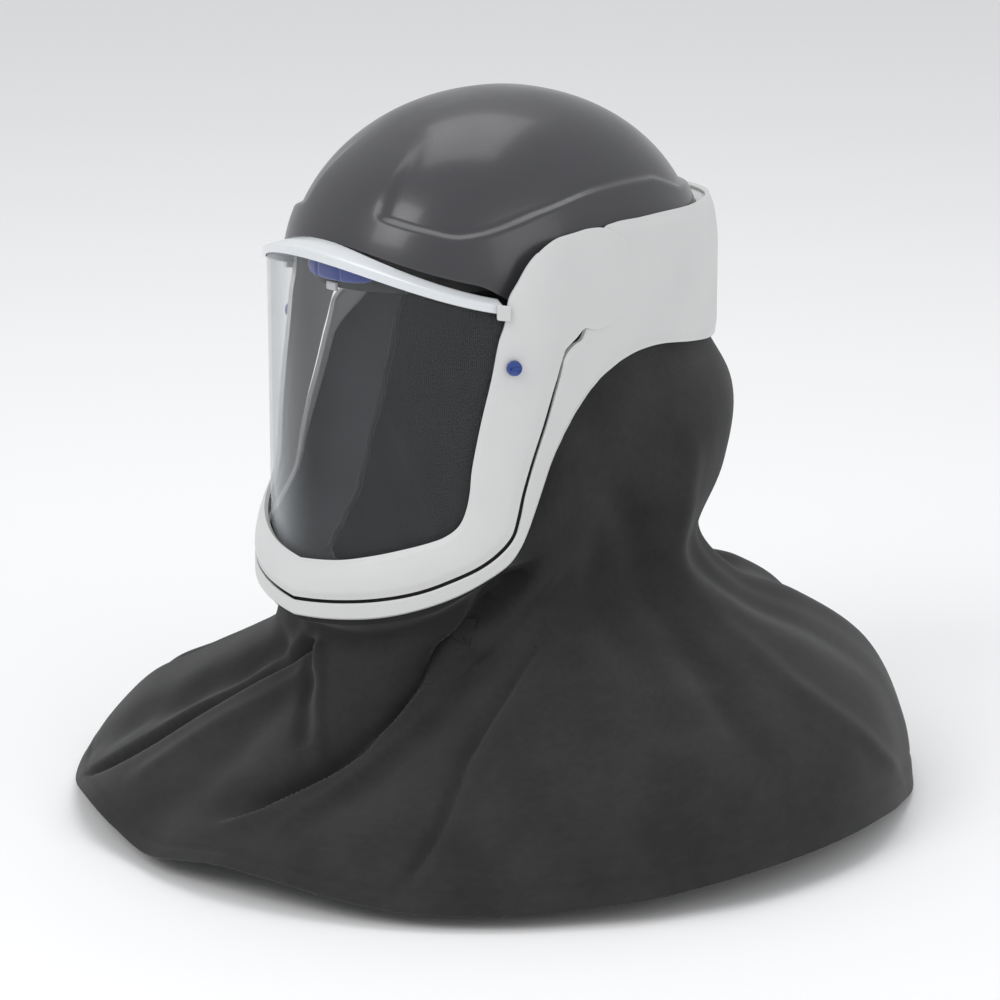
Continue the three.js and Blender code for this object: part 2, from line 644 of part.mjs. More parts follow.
const INLET_REACH = BAND_PROUD - BAND_WALL - GAP;
const INLET_Y = SIDE_CENTRE_Y + SIDE_REAR + INLET_REACH - INLET_FLANGE_RADIUS;

function airInlet() {
  const bottom = INLET_TOP - INLET_LENGTH;
  const profile = [
    [INLET_BORE_RADIUS, bottom],
    [INLET_OUTER_RADIUS, bottom],
    [INLET_OUTER_RADIUS, INLET_TOP - INLET_FLANGE_HEIGHT],
    [INLET_FLANGE_RADIUS, INLET_TOP - INLET_FLANGE_HEIGHT],
    [INLET_FLANGE_RADIUS, INLET_TOP],
    [INLET_BORE_RADIUS, INLET_TOP],
  ];
  return turned(profile, 32).translate(0, INLET_Y, 0);
}

// Round button on the frame beside the lens, standing along the surface's normal
const LOCK_AROUND = 72.2;
const LOCK_SHARE = -0.2054;

function lensLock(side) {
  const proud = FRAME_PROUD * 0.78;
  const z = frameZ(LOCK_SHARE);
  const centre = sidePoint(side * LOCK_AROUND, z, proud);
  const ahead = sidePoint(side * (LOCK_AROUND - 1), z, proud);
  const normal = centre.clone().sub(ahead).cross(new THREE.Vector3(0, 0, side)).normalize();
  const button = new THREE.CylinderGeometry(LOCK_RADIUS * 0.88, LOCK_RADIUS, LOCK_HEIGHT, 24);
  const stand = new THREE.Quaternion().setFromUnitVectors(new THREE.Vector3(0, 1, 0), normal);
  const geometry = button.applyQuaternion(stand);
  const lift = LOCK_HEIGHT / 2 + GAP * 2;
  return geometry.translate(...centre.addScaledVector(normal, lift).toArray());
}

function pivotPin(side) {
  return pivotDisc(PIVOT_PIN_RADIUS, SHELL_HALF_WIDTH + GAP, LOBE_FLAT_X - GAP, side);
}

// Top edge of the shroud: height round the helmet, as shares of the visor frame's height
const SHROUD_TOP = [
  { around: 0, z: -1.06 },
  { around: 15, z: -1.045 },
  { around: 32, z: -1.015 },
  { around: 47, z: -0.973 },
  { around: 57, z: -0.923 },
  { around: 66, z: -0.872 },
  { around: 72, z: -0.825 },
  { around: 76, z: -0.758 },
  { around: 80.7, z: -0.647 },
  { around: 86, z: -0.512 },
  { around: 92.7, z: -0.378 },
  { around: 100.7, z: -0.27 },
  { around: 108, z: -0.227 },
  { around: 117, z: -0.224 },
  { around: 140, z: -0.27 },
  { around: 180, z: -0.281 },
];

// Sections of the shroud below its top edge. Radii are shares of the hem's radius and drops are
// shares of the hem's drop, at the front, the left and right sides and the back.
const SHROUD_ROWS = [
  { down: 0.12, frontR: 0.505, frontZ: 0.63, sideR: 0.45, leftZ: 0.34, rightZ: 0.36, backR: 0.615, backZ: 0.24 },
  { down: 0.26, frontR: 0.52, frontZ: 0.668, sideR: 0.435, leftZ: 0.45, rightZ: 0.5, backR: 0.6, backZ: 0.37 },
  { down: 0.4, frontR: 0.55, frontZ: 0.71, sideR: 0.43, leftZ: 0.56, rightZ: 0.64, backR: 0.515, backZ: 0.525 },
  { down: 0.52, frontR: 0.63, frontZ: 0.76, sideR: 0.57, leftZ: 0.64, rightZ: 0.72, backR: 0.6, backZ: 0.627 },
  { down: 0.65, frontR: 0.75, frontZ: 0.825, sideR: 0.75, leftZ: 0.705, rightZ: 0.8, backR: 0.755, backZ: 0.68 },
  { down: 0.78, frontR: 0.865, frontZ: 0.895, sideR: 0.9, leftZ: 0.785, rightZ: 0.865, backR: 0.915, backZ: 0.77 },
  { down: 0.9, frontR: 0.955, frontZ: 0.96, sideR: 0.975, leftZ: 0.895, rightZ: 0.935, backR: 0.985, backZ: 0.885 },
  { down: 1, frontR: 1, frontZ: 1, sideR: 1, leftZ: 1, rightZ: 1, backR: 1, backZ: 1 },
];

// How far the hem is lifted round the shroud, as a share of the hem's drop
const HEM_LIFT = [
  { around: -180, lift: 0 },
  { around: -60, lift: 0.01 },
  { around: -42, lift: 0 },
  { around: -22, lift: 0.042 },
  { around: -10, lift: 0.036 },
  { around: 0, lift: 0.02 },
  { around: 12, lift: 0.048 },
  { around: 22, lift: 0.046 },
  { around: 32, lift: 0.027 },
  { around: 42, lift: 0.016 },
  { around: 70, lift: 0.03 },
  { around: 85, lift: 0.046 },
  { around: 108, lift: 0.047 },
  { around: 122, lift: 0.025 },
  { around: 132, lift: 0 },
  { around: 180, lift: 0 },
];

// Folds: where each starts and ends round the shroud, and its depth as a share of the hem's radius
const SHROUD_FOLDS = [
  { topAt: -12, hemAt: -44, from: 0.2, to: 0.97, depth: 0.045, width: 5 },
  { topAt: -8, hemAt: -2, from: 0.25, to: 0.8, depth: 0.02, width: 6 },
  { topAt: 60, hemAt: 12, from: 0.15, to: 0.9, depth: 0.06, width: 8 },
  { topAt: 88, hemAt: 86, from: 0.1, to: 0.85, depth: 0.03, width: 11 },
  { topAt: 112, hemAt: 128, from: 0.1, to: 0.9, depth: -0.02, width: 8 },
  { topAt: -62, hemAt: -80, from: 0.15, to: 0.9, depth: 0.04, width: 9 },
  { topAt: -118, hemAt: -112, from: 0.2, to: 0.95, depth: 0.03, width: 9 },
  { topAt: 172, hemAt: 168, from: 0.3, to: 1, depth: 0.02, width: 9 },
];

// How sharply the front sections turn into the side ones, over the shoulders
const FRONT_SHOULDER_REACH = 3.2;

function foldDepth(around, down) {
  return SHROUD_FOLDS.reduce((sum, fold) => {
    const share = THREE.MathUtils.clamp((down - fold.from) / (fold.to - fold.from), 0, 1);
    const centre = mix(fold.topAt, fold.hemAt, share);
    const away = (THREE.MathUtils.euclideanModulo(around - centre + 180, 360) - 180) / fold.width;
    return sum + fold.depth * HEM_RADIUS * Math.exp(-away * away) * Math.sin(Math.PI * share);
  }, 0);
}

function shroudPoint(row, around) {
  const c = Math.cos(around * DEG);
  const end = c > 0 ? "front" : "back";
  const sideZ = Math.sin(around * DEG) > 0 ? row.leftZ : row.rightZ;
  const blend = 1 - Math.abs(Math.sin(around * DEG)) ** (c > 0 ? FRONT_SHOULDER_REACH : 2);
  const radius = mix(row.sideR, row[`${end}R`], blend) * HEM_RADIUS;
  const lift = lookUp(HEM_LIFT, "around", "lift", around) * row.down ** 4;
  const z = (lift - mix(sideZ, row[`${end}Z`], blend)) * HEM_DROP;
  return { radius, z };
}

function shroudTopPoint(around) {
  const height = lookUp(SHROUD_TOP, "around", "z", Math.abs(around)) * FRAME_HEIGHT;
  return sidePoint(around, height + SHROUD_TUCK, bandInside(around) - BAND_EDGE_DIP - GAP * 2);
}

// The start of the free cloth, just outside the band's lower edge
function shroudCollarPoint(around) {
  const height = lookUp(SHROUD_TOP, "around", "z", Math.abs(around)) * FRAME_HEIGHT;
  return sidePoint(around, height - SHROUD_TUCK, bandInside(around) - BAND_EDGE_DIP - GAP * 2);
}

function shroudColumn(around, count) {
  const top = shroudTopPoint(around);
  const collar = shroudCollarPoint(around);
  const direction = Math.atan2(collar.x, -collar.y) / DEG;
  const route = [collar];
  for (const row of SHROUD_ROWS) {
    const turn = mix(direction, around, Math.min(1, row.down * 1.6));
    const { radius, z } = shroudPoint(row, turn);
    const fold = foldDepth(turn, row.down);
    route.push(new THREE.Vector3(
      (radius - fold) * Math.sin(turn * DEG),
      -(radius - fold) * Math.cos(turn * DEG),
      z - fold * 0.3,
    ));
  }
  const curve = new THREE.CatmullRomCurve3(route, false, "centripetal");
  return [top, ...Array.from({ length: count }, (_, i) => curve.getPoint(i / (count - 1)))];
}

function shroud() {
  const columns = 64;
  const rows = 16;
  const strips = Array.from({ length: columns }, (_, j) => (
    shroudColumn((j / columns) * 360 - 180, rows)
  ));
  const outer = Array.from({ length: rows + 1 }, (_, i) => strips.map((strip) => strip[i]));
  return solidBetween(outer, offsetGrid(outer, SHROUD_WALL, true), true);
}

const FINISHES = {
  darkPlastic: { color: 0x47474b, roughness: 0.32, metalness: 0 },
  whitePlastic: { color: 0xd6d5d3, roughness: 0.4, metalness: 0 },
  clearPlastic: { color: 0xdfe3e6, roughness: 0.05, metalness: 0, transparent: true, opacity: 0.3 },
  palePlastic: { color: 0xdadde0, roughness: 0.2, metalness: 0 },
  bluePlastic: { color: 0x0d3d8f, roughness: 0.35, metalness: 0 },
  blueFoam: { color: 0x27357a, roughness: 0.9, metalness: 0 },
  blackPlastic: { color: 0x1d1d1f, roughness: 0.5, metalness: 0 },
  darkCloth: { color: 0x2e2e2f, roughness: 0.9, metalness: 0 },
  sealCloth: { color: 0x333436, roughness: 0.95, metalness: 0 },
};

function piece(name, geometry, finish) {
  const mesh = new THREE.Mesh(geometry, new THREE.MeshStandardMaterial(FINISHES[finish]));
  mesh.name = name;
  return mesh;
}

const helmet = new THREE.Group();
helmet.add(
  piece("crown_shell", crownShell(), "darkPlastic"),
  piece("band_frame", bandFrame(), "whitePlastic"),
  piece("headband", headband(), "blackPlastic"),
  piece("brow_pad", browPad(), "blueFoam"),
  piece("face_seal", faceSeal(), "sealCloth"),
  piece("air_inlet", airInlet(), "blackPlastic"),
  piece("shroud", shroud(), "darkCloth"),
);

const visor = new THREE.Group();
visor.add(
  piece("visor_frame", visorFrame(), "whitePlastic"),
  piece("visor_rail", visorRail(), "palePlastic"),
  piece("visor_lens", visorLens(), "clearPlastic"),
);
for (const [sideName, side] of [["left", 1], ["right", -1]]) {
  visor.add(piece(`lens_lock_${sideName}`, lensLock(side), "bluePlastic"));
  visor.add(piece(`pivot_pin_${sideName}`, pivotPin(side), "blackPlastic"));
}
helmet.add(visor);

export default helmet;
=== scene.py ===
"""Powered respirator helmet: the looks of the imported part, on its CAD frame, in metres."""

import bisect
import logging
import math
from dataclasses import dataclass, field
from enum import Enum
from typing import Callable, Optional, Sequence

import bmesh
import bpy
from mathutils import Matrix, Vector


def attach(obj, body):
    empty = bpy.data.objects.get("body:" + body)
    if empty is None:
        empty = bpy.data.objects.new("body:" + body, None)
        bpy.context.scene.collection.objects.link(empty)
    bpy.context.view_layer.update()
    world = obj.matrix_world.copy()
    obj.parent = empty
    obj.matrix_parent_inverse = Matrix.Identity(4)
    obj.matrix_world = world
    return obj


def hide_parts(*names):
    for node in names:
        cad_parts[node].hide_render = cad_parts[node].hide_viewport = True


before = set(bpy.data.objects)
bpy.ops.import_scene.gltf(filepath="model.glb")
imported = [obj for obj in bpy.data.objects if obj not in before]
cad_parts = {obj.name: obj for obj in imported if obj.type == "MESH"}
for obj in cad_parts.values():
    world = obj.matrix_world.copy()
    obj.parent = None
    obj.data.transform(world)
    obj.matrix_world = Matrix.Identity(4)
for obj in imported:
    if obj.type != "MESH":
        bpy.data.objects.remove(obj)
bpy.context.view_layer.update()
LOG = logging.getLogger("respirator_helmet")

MM = 0.001
SHADE_ANGLE = math.radians(32)

Row = tuple[float, ...]
SurfaceMap = Callable[[float, float], Vector]


class Body(Enum):
    """The two moving bodies of the part."""

    HELMET = "helmet"
    VISOR = "visor"


class Side(Enum):
    """The wearer's left and right."""

    LEFT = 1
    RIGHT = -1


def lerp(a: float, b: float, share: float) -> float:
    """Value a share of the way from a to b.

    Args:
        a: Value at share 0.
        b: Value at share 1.
        share: How far along.

    Returns:
        The value between them.
    """
    return a + (b - a) * share


def smooth(t: float) -> float:
    """Smooth step from 0 to 1.

    Args:
        t: Any number; it is held between 0 and 1.

    Returns:
        The eased share.
    """
    t = min(1.0, max(0.0, t))
    return t * t * (3 - 2 * t)


def look_up(rows: Sequence[Row], at: float, column: int = 1, eased: bool = False) -> float:
    """Value of a table column at a key in column 0, whose values rise.

    Args:
        rows: Table rows with the key first.
        at: Key to look up.
        column: Column to return.
        eased: Whether the value runs on a smooth curve through the rows.

    Returns:
        The value between the two nearest rows.
    """
    if at <= rows[0][0]:
        return rows[0][column]
    if at >= rows[-1][0]:
        return rows[-1][column]
    i = bisect.bisect_right([row[0] for row in rows], at)
    share = (at - rows[i - 1][0]) / (rows[i][0] - rows[i - 1][0])
    a, b = rows[i - 1][column], rows[i][column]
    if not eased:
        return lerp(a, b, share)
    before = rows[max(i - 2, 0)][column]
    after = rows[min(i + 1, len(rows) - 1)][column]
    return spline(before, a, b, after, share)


def spline(before: float, a: float, b: float, after: float, share: float) -> float:
    """Catmull-Rom curve through four values.

    Args:
        before: Value before a.
        a: Value at share 0.
        b: Value at share 1.
        after: Value after b.
        share: How far from a to b.

    Returns:
        The value on the curve.
    """
    s2, s3 = share * share, share ** 3
    return 0.5 * (
        2 * a + (b - before) * share
        + (2 * before - 5 * a + 4 * b - after) * s2
        + (3 * a - before - 3 * b + after) * s3
    )


def wave(angle: float, power: float) -> float:
    """Signed power of a value between -1 and 1.

    Args:
        angle: The value.
        power: The power for its size.

    Returns:
        The value with its sign kept.
    """
    return math.copysign(abs(angle) ** power, angle)


@dataclass(frozen=True)
class ShellSurface:
    """Outer form of the crown shell, in millimetres and degrees."""

    half_width: float = 104
    front: float = 135
    rear: float = 138
    height: float = 111
    squareness: float = 2.3
    recess_depth: float = 3.5
    recess_ramp: float = 2.6
    rim_front: float = 29
    rim_side: float = -14
    rim_arch: float = 0.0027
    brow_rib: float = 15
    brow_rib_fade: float = 6
    brow_rib_top: float = 28
    brow_rib_rise: float = 26
    ledge: tuple[Row, ...] = (
        (0, 24), (17, 23), (30, 20), (42, 18), (65, 24), (92, 29), (125, 29.5), (140, 24), (180, 22),
    )

    def point(self, around: float, rise: float, offset: float) -> Vector:
        """Point of the form.

        Args:
            around: Angle round the head, 0 at the front and positive to the wearer's left.
            rise: Angle above the rim's plane.
            offset: Distance out from the form.

        Returns:
            The point in metres.
        """
        s, c = math.sin(math.radians(around)), math.cos(math.radians(around))
        half_length = (self.front if c > 0 else self.rear) + offset
        across = abs(s / (self.half_width + offset)) ** self.squareness
        along = abs(c / half_length) ** self.squareness
        radius = (across + along) ** (-1 / self.squareness)
        lean = math.cos(math.radians(rise)) if rise > 0 else 1.0
        z = (self.height + offset) * math.sin(math.radians(rise))
        return Vector((radius * s * lean, -radius * c * lean, z)) * MM

    def recess(self, around: float, rise: float) -> float:
        """Depth of the sunk crown below the skirt, with the rib over the brow left proud.

        Args:
            around: Angle round the head.
            rise: Angle above the rim's plane.

        Returns:
            The depth in millimetres.
        """
        around = abs(around)
        above = smooth((rise - look_up(self.ledge, around, eased=True)) / self.recess_ramp)
        rib = 1 - smooth((around - self.brow_rib) / self.brow_rib_fade)
        fade = 1 - smooth((rise - self.brow_rib_top) / self.brow_rib_rise)
        return self.recess_depth * above * (1 - rib * fade)

    def rim_rise(self, around: float) -> float:
        """Rise of the shell's lower edge.

        Args:
            around: Angle round the head.

        Returns:
            The rise in degrees.
        """
        around = abs(around)
        x = self.point(min(around, 90), 0, 0).x / MM
        front = self.rim_front - self.rim_arch * x * x
        z = lerp(front, self.rim_side, smooth((around - 45) / 25))
        return math.degrees(math.asin(z / self.height))


@dataclass(frozen=True)
class SideSurface:
    """Surface that the band, the visor frame and the lens follow, in millimetres."""

    half_width: float = 108
    front: float = 108
    rear: float = 190
    centre_y: float = -40
    rear_squareness: float = 2.3
    dome_height: float = 150

    def point(self, around: float, z: float, proud: float) -> Vector:
        """Point of the surface.

        Args:
            around: Angle round the face, 0 at the chin and positive to the wearer's left.
            z: Height.
            proud: Distance out from the surface.

        Returns:
            The point in metres.
        """
        c = math.cos(math.radians(around))
        power = 2 if c > 0 else self.rear_squareness
        s = math.copysign((1 - min(1.0, abs(c)) ** power) ** (1 / power), around)
        lean = math.sqrt(1 - (z / self.dome_height) ** 2) if z > 0 else 1.0
        half_length = (self.front if c > 0 else self.rear) + proud
        x = (self.half_width + proud) * s * lean
        return Vector((x, self.centre_y - half_length * c * lean, z)) * MM


SHELL = ShellSurface()
SIDE = SideSurface()
FRAME_HEIGHT = 185.0
PIVOT = Vector((0, -13.6, 7.5)) * MM
LOBE_RADIUS = 30.2
GAP = 0.35
FRAME_PROUD = 5.0
CHIN_EXTRA_PROUD = 4.0
RAIL_HEIGHT = 26.0
RAIL_ARCH = 0.0027


def rail_z(x: float) -> float:
    """Height of the rail's top edge, in millimetres.

    Args:
        x: Distance from the middle plane, in millimetres.

    Returns:
        The height.
    """
    return RAIL_HEIGHT - RAIL_ARCH * x * x


def rows_at(table: Sequence[Row], share: float) -> Row:
    """Row of a table on a smooth curve through its rows.

    Args:
        table: Rows of numbers.
        share: 0 at the first row and 1 at the last.

    Returns:
        The row there.
    """
    last = len(table) - 1
    place = min(max(share, 0.0), 1.0) * last
    i = min(int(place), last - 1)
    picked = [table[min(max(k, 0), last)] for k in (i - 1, i, i + 1, i + 2)]
    return tuple(spline(*values, place - i) for values in zip(*picked))


def even_shares(lengths: Sequence[float], count: int) -> list[float]:
    """Shares that cut a line into equal lengths.

    Args:
        lengths: Length along the line at equal steps of its share, rising from 0.
        count: How many cuts, the ends not counted.

    Returns:
        The shares from 0 to 1, count + 1 of them.
    """
    shares = []
    for i in range(count + 1):
        want = lengths[-1] * i / count
        k = min(max(bisect.bisect_left(lengths, want), 1), len(lengths) - 1)
        span = max(lengths[k] - lengths[k - 1], 1e-12)
        shares.append((k - 1 + (want - lengths[k - 1]) / span) / (len(lengths) - 1))
    return shares


def srgb(code: str) -> tuple[float, float, float, float]:
    """Linear colour of an sRGB hex code.

    Args:
        code: Six hex digits.

    Returns:
        Red, green, blue and alpha 1.
    """
    parts = [int(code[i:i + 2], 16) / 255 for i in (0, 2, 4)]
    linear = [p / 12.92 if p <= 0.04045 else ((p + 0.055) / 1.055) ** 2.4 for p in parts]
    return (*linear, 1.0)


def add_node(
    tree: bpy.types.NodeTree,
    kind: str,
    values: Optional[dict] = None,
    links: Optional[dict] = None,
    settings: Optional[dict] = None,
) -> bpy.types.Node:
    """Node with its settings, its input values and its links.

    Args:
        tree: Tree that gets the node.
        kind: Blender's node type.
        values: Input values by socket name or number.
        links: Output sockets by the name or number of the input that they feed.
        settings: Properties of the node itself.

    Returns:
        The node.
    """
    node = tree.nodes.new(kind)
    for name, value in (settings or {}).items():
        setattr(node, name, value)
    for name, value in (values or {}).items():
        node.inputs[name].default_value = value
    for name, socket in (links or {}).items():
        tree.links.new(socket, node.inputs[name])
    return node


class Pattern(Enum):
    """Where a finish lays its pattern."""

    OBJECT = "Object"
    CLOTH = "UV"


@dataclass(frozen=True)
class MouldedPlastic:
    """Moulded thermoplastic: fine spark grain, faint flow mottling and rubbed edges.

    The grain is about 0.5 mm in the real mould; it is drawn 1.2 mm wide so that it shows.
    """

    name: str
    colour: str
    shade: str
    worn: str
    roughness: float
    grain_mm: float = 1.2
    grain_depth: float = 0.06
    coat: float = 0.0
    ior: float = 1.5
    wear: float = 0.35

    def make(self) -> bpy.types.Material:
        """Material with the mottled colour, the grain and the wear along edges."""
        material = bpy.data.materials.new(self.name)
        material.use_nodes = True
        tree = material.node_tree
        shader = tree.nodes["Principled BSDF"]
        place = add_node(tree, "ShaderNodeTexCoord").outputs[Pattern.OBJECT.value]
        mottle = add_node(
            tree, "ShaderNodeTexNoise", {"Scale": 1 / (45 * MM), "Detail": 3.0}, {"Vector": place}
        )
        grain = add_node(
            tree, "ShaderNodeTexNoise",
            {"Scale": 1 / (self.grain_mm * MM), "Detail": 2.0}, {"Vector": place},
        )
        tone = add_node(
            tree, "ShaderNodeMix", {6: srgb(self.colour), 7: srgb(self.shade)},
            {0: mottle.outputs["Fac"]}, {"data_type": "RGBA"},
        )
        bend = add_node(tree, "ShaderNodeNewGeometry").outputs["Pointiness"]
        edge = add_node(
            tree, "ShaderNodeMapRange",
            {"From Min": 0.54, "From Max": 0.66, "To Min": 0.0, "To Max": self.wear},
            {"Value": bend},
        )
        rubbed = add_node(
            tree, "ShaderNodeMix", {7: srgb(self.worn)},
            {0: edge.outputs["Result"], 6: tone.outputs[2]}, {"data_type": "RGBA"},
        )
        rough = add_node(
            tree, "ShaderNodeMapRange",
            {"From Min": 0.3, "From Max": 0.7,
             "To Min": self.roughness - 0.05, "To Max": self.roughness + 0.07},
            {"Value": mottle.outputs["Fac"]},
        )
        bump = add_node(
            tree, "ShaderNodeBump",
            {"Strength": self.grain_depth, "Distance": 0.2 * MM}, {"Height": grain.outputs["Fac"]},
        )
        tree.links.new(rubbed.outputs[2], shader.inputs["Base Color"])
        tree.links.new(rough.outputs["Result"], shader.inputs["Roughness"])
        tree.links.new(bump.outputs["Normal"], shader.inputs["Normal"])
        shader.inputs["IOR"].default_value = self.ior
        shader.inputs["Coat Weight"].default_value = self.coat
        shader.inputs["Coat Roughness"].default_value = 0.12
        return material


@dataclass(frozen=True)
class CoatedCloth:
    """Woven polyamide with a coated back: plain weave, slubs and a soft sheen.

    The yarn is about 0.4 mm; it is drawn at the pitch below so that it shows.
    """

    name: str
    colour: str
    light: str
    roughness: float
    yarn_mm: float = 1.5
    weave_depth: float = 0.25
    sheen: float = 0.25
    crumple_mm: float = 38.0
    crumple_depth_mm: float = 1.6

    def make(self) -> bpy.types.Material:
        """Material with the weave on the cloth's own map and soft crumples."""
        material = bpy.data.materials.new(self.name)
        material.use_nodes = True
        tree = material.node_tree
        shader = tree.nodes["Principled BSDF"]
        coordinates = add_node(tree, "ShaderNodeTexCoord")
        cloth = coordinates.outputs[Pattern.CLOTH.value]
        place = coordinates.outputs[Pattern.OBJECT.value]
        yarns = [
            add_node(
                tree, "ShaderNodeTexWave",
                {"Scale": 0.314 / (self.yarn_mm * MM), "Distortion": 0.6, "Detail": 1.0},
                {"Vector": cloth}, {"bands_direction": direction},
            ).outputs["Fac"]
            for direction in ("X", "Y")
        ]
        weave = add_node(
            tree, "ShaderNodeMath", {}, {0: yarns[0], 1: yarns[1]}, {"operation": "MULTIPLY"}
        )
        slub = add_node(
            tree, "ShaderNodeTexNoise", {"Scale": 1 / (6 * MM), "Detail": 4.0}, {"Vector": cloth}
        )
        crumple = add_node(
            tree, "ShaderNodeTexNoise",
            {"Scale": 1 / (self.crumple_mm * MM), "Detail": 2.5, "Roughness": 0.45},
            {"Vector": place},
        )
        spread = add_node(
            tree, "ShaderNodeMath", {1: 0.5}, {0: slub.outputs["Fac"], 2: crumple.outputs["Fac"]},
            {"operation": "MULTIPLY_ADD"},
        )
        share = add_node(
            tree, "ShaderNodeMapRange", {"From Min": 0.55, "From Max": 1.0},
            {"Value": spread.outputs[0]},
        )
        tone = add_node(
            tree, "ShaderNodeMix", {6: srgb(self.colour), 7: srgb(self.light)},
            {0: share.outputs["Result"]}, {"data_type": "RGBA"},
        )
        soft = add_node(
            tree, "ShaderNodeBump",
            {"Strength": 0.6, "Distance": self.crumple_depth_mm * MM},
            {"Height": crumple.outputs["Fac"]},
        )
        bump = add_node(
            tree, "ShaderNodeBump", {"Strength": self.weave_depth, "Distance": 0.25 * MM},
            {"Height": weave.outputs[0], "Normal": soft.outputs["Normal"]},
        )
        tree.links.new(tone.outputs[2], shader.inputs["Base Color"])
        tree.links.new(bump.outputs["Normal"], shader.inputs["Normal"])
        shader.inputs["Roughness"].default_value = self.roughness
        shader.inputs["Sheen Weight"].default_value = self.sheen
        shader.inputs["Sheen Roughness"].default_value = 0.45
        shader.inputs["Specular IOR Level"].default_value = 0.25
        return material


@dataclass(frozen=True)
class ClearPolycarbonate:
    """Clear extruded polycarbonate sheet, hard-coated; paler where it is seen edge on, which is a painted reflection.
    """

    name: str
    colour: str
    thin: float
    edge_on: float

    def make(self) -> bpy.types.Material:
        """Material that is clear face on, paler at the rim of the bend as a painted reflection, with faint wipe
        marks.
        """
        material = bpy.data.materials.new(self.name)
        material.use_nodes = True
        tree = material.node_tree
        shader = tree.nodes["Principled BSDF"]
        place = add_node(tree, "ShaderNodeTexCoord").outputs[Pattern.OBJECT.value]
        facing = add_node(tree, "ShaderNodeLayerWeight", {"Blend": 0.35}).outputs["Facing"]
        wipes = add_node(
            tree, "ShaderNodeTexNoise", {"Scale": 1 / (30 * MM), "Detail": 3.0, "Distortion": 1.5},
            {"Vector": place},
        )
        # Painted reflection: the lens turns opaque and pale where it is seen edge on.
        painted_reflection_alpha = add_node(
            tree, "ShaderNodeMapRange",
            {"From Min": 0.25, "From Max": 1.0, "To Min": self.thin, "To Max": self.edge_on},
            {"Value": facing}, {"interpolation_type": "SMOOTHSTEP"},
        )
        rough = add_node(
            tree, "ShaderNodeMapRange", {"To Min": 0.03, "To Max": 0.11},
            {"Value": wipes.outputs["Fac"]},
        )
        tree.links.new(painted_reflection_alpha.outputs["Result"], shader.inputs["Alpha"])
        tree.links.new(rough.outputs["Result"], shader.inputs["Roughness"])
        shader.inputs["Base Color"].default_value = srgb(self.colour)
        shader.inputs["IOR"].default_value = 1.58
        return material


@dataclass(frozen=True)
class BrushedFoamCloth:
    """Brushed knit over foam: short nap and a soft blue that pales on the swell.

    The nap is about 0.3 mm; it is drawn 1 mm wide so that it shows.
    """

    name: str
    colour: str
    light: str

    def make(self) -> bpy.types.Material:
        """Material with the nap and its sheen."""
        material = bpy.data.materials.new(self.name)
        material.use_nodes = True
        tree = material.node_tree
        shader = tree.nodes["Principled BSDF"]
        place = add_node(tree, "ShaderNodeTexCoord").outputs[Pattern.OBJECT.value]
        nap = add_node(
            tree, "ShaderNodeTexNoise", {"Scale": 1 / (1.0 * MM), "Detail": 4.0}, {"Vector": place}
        )
        knit = add_node(
            tree, "ShaderNodeTexVoronoi", {"Scale": 1 / (1.6 * MM)}, {"Vector": place}
        )
        tone = add_node(
            tree, "ShaderNodeMix", {6: srgb(self.colour), 7: srgb(self.light)},
            {0: nap.outputs["Fac"]}, {"data_type": "RGBA"},
        )
        bump = add_node(
            tree, "ShaderNodeBump", {"Strength": 0.35, "Distance": 0.3 * MM},
            {"Height": knit.outputs["Distance"]},
        )
        tree.links.new(tone.outputs[2], shader.inputs["Base Color"])
        tree.links.new(bump.outputs["Normal"], shader.inputs["Normal"])
        shader.inputs["Roughness"].default_value = 0.9
        shader.inputs["Sheen Weight"].default_value = 0.5
        return material


SHELL_ABS = MouldedPlastic(
    "ABS moulded dark grey gloss", "39393d", "323235", "5c5c60", 0.3, grain_depth=0.03, coat=0.25,
)
WHITE_ABS = MouldedPlastic(
    "ABS moulded off white satin", "d2d2d1", "c9c9c9", "e2e2e1", 0.42, grain_depth=0.08,
)
RAIL_PC = MouldedPlastic(
    "polycarbonate moulded pale gloss", "dfe2e4", "cfd3d6", "f4f6f7", 0.16,
    grain_depth=0.02, coat=0.4, ior=1.58,
)
BLUE_ABS = MouldedPlastic(
    "ABS moulded blue gloss", "0d3d8f", "0a3179", "2d5cab", 0.3, grain_depth=0.03, coat=0.2,
)
BLACK_PA = MouldedPlastic(
    "polyamide moulded black", "1d1d1f", "161617", "3a3a3c", 0.5, grain_depth=0.12,
)
GREY_PA = MouldedPlastic(
    "polyamide moulded light grey", "b9babb", "a8a9aa", "d0d0d0", 0.4, grain_depth=0.08,
)
SHROUD_CLOTH = CoatedCloth(
    "polyamide cloth woven dark grey", "252525", "2f2f2f", 0.85, weave_depth=0.2, sheen=0.12,
    crumple_depth_mm=0.9,
)
SEAL_CLOTH = CoatedCloth(
    "polyamide cloth coated dark grey", "2a2b2d", "343538", 0.8, yarn_mm=1.2, weave_depth=0.03,
    sheen=0.1, crumple_depth_mm=0.4,
)
BINDING_TAPE = CoatedCloth(
    "polyester tape ribbed black", "1c1c1d", "2b2b2c", 0.8, yarn_mm=1.4, weave_depth=0.5,
    crumple_depth_mm=0.4,
)
# The lens's pale colour shows where it is seen edge on, as a painted reflection.
VISOR_PC = ClearPolycarbonate("polycarbonate sheet clear", "c9ced2", 0.035, 0.6)
PAD_KNIT = BrushedFoamCloth("polyester knit brushed blue", "27357a", "3a4a97")


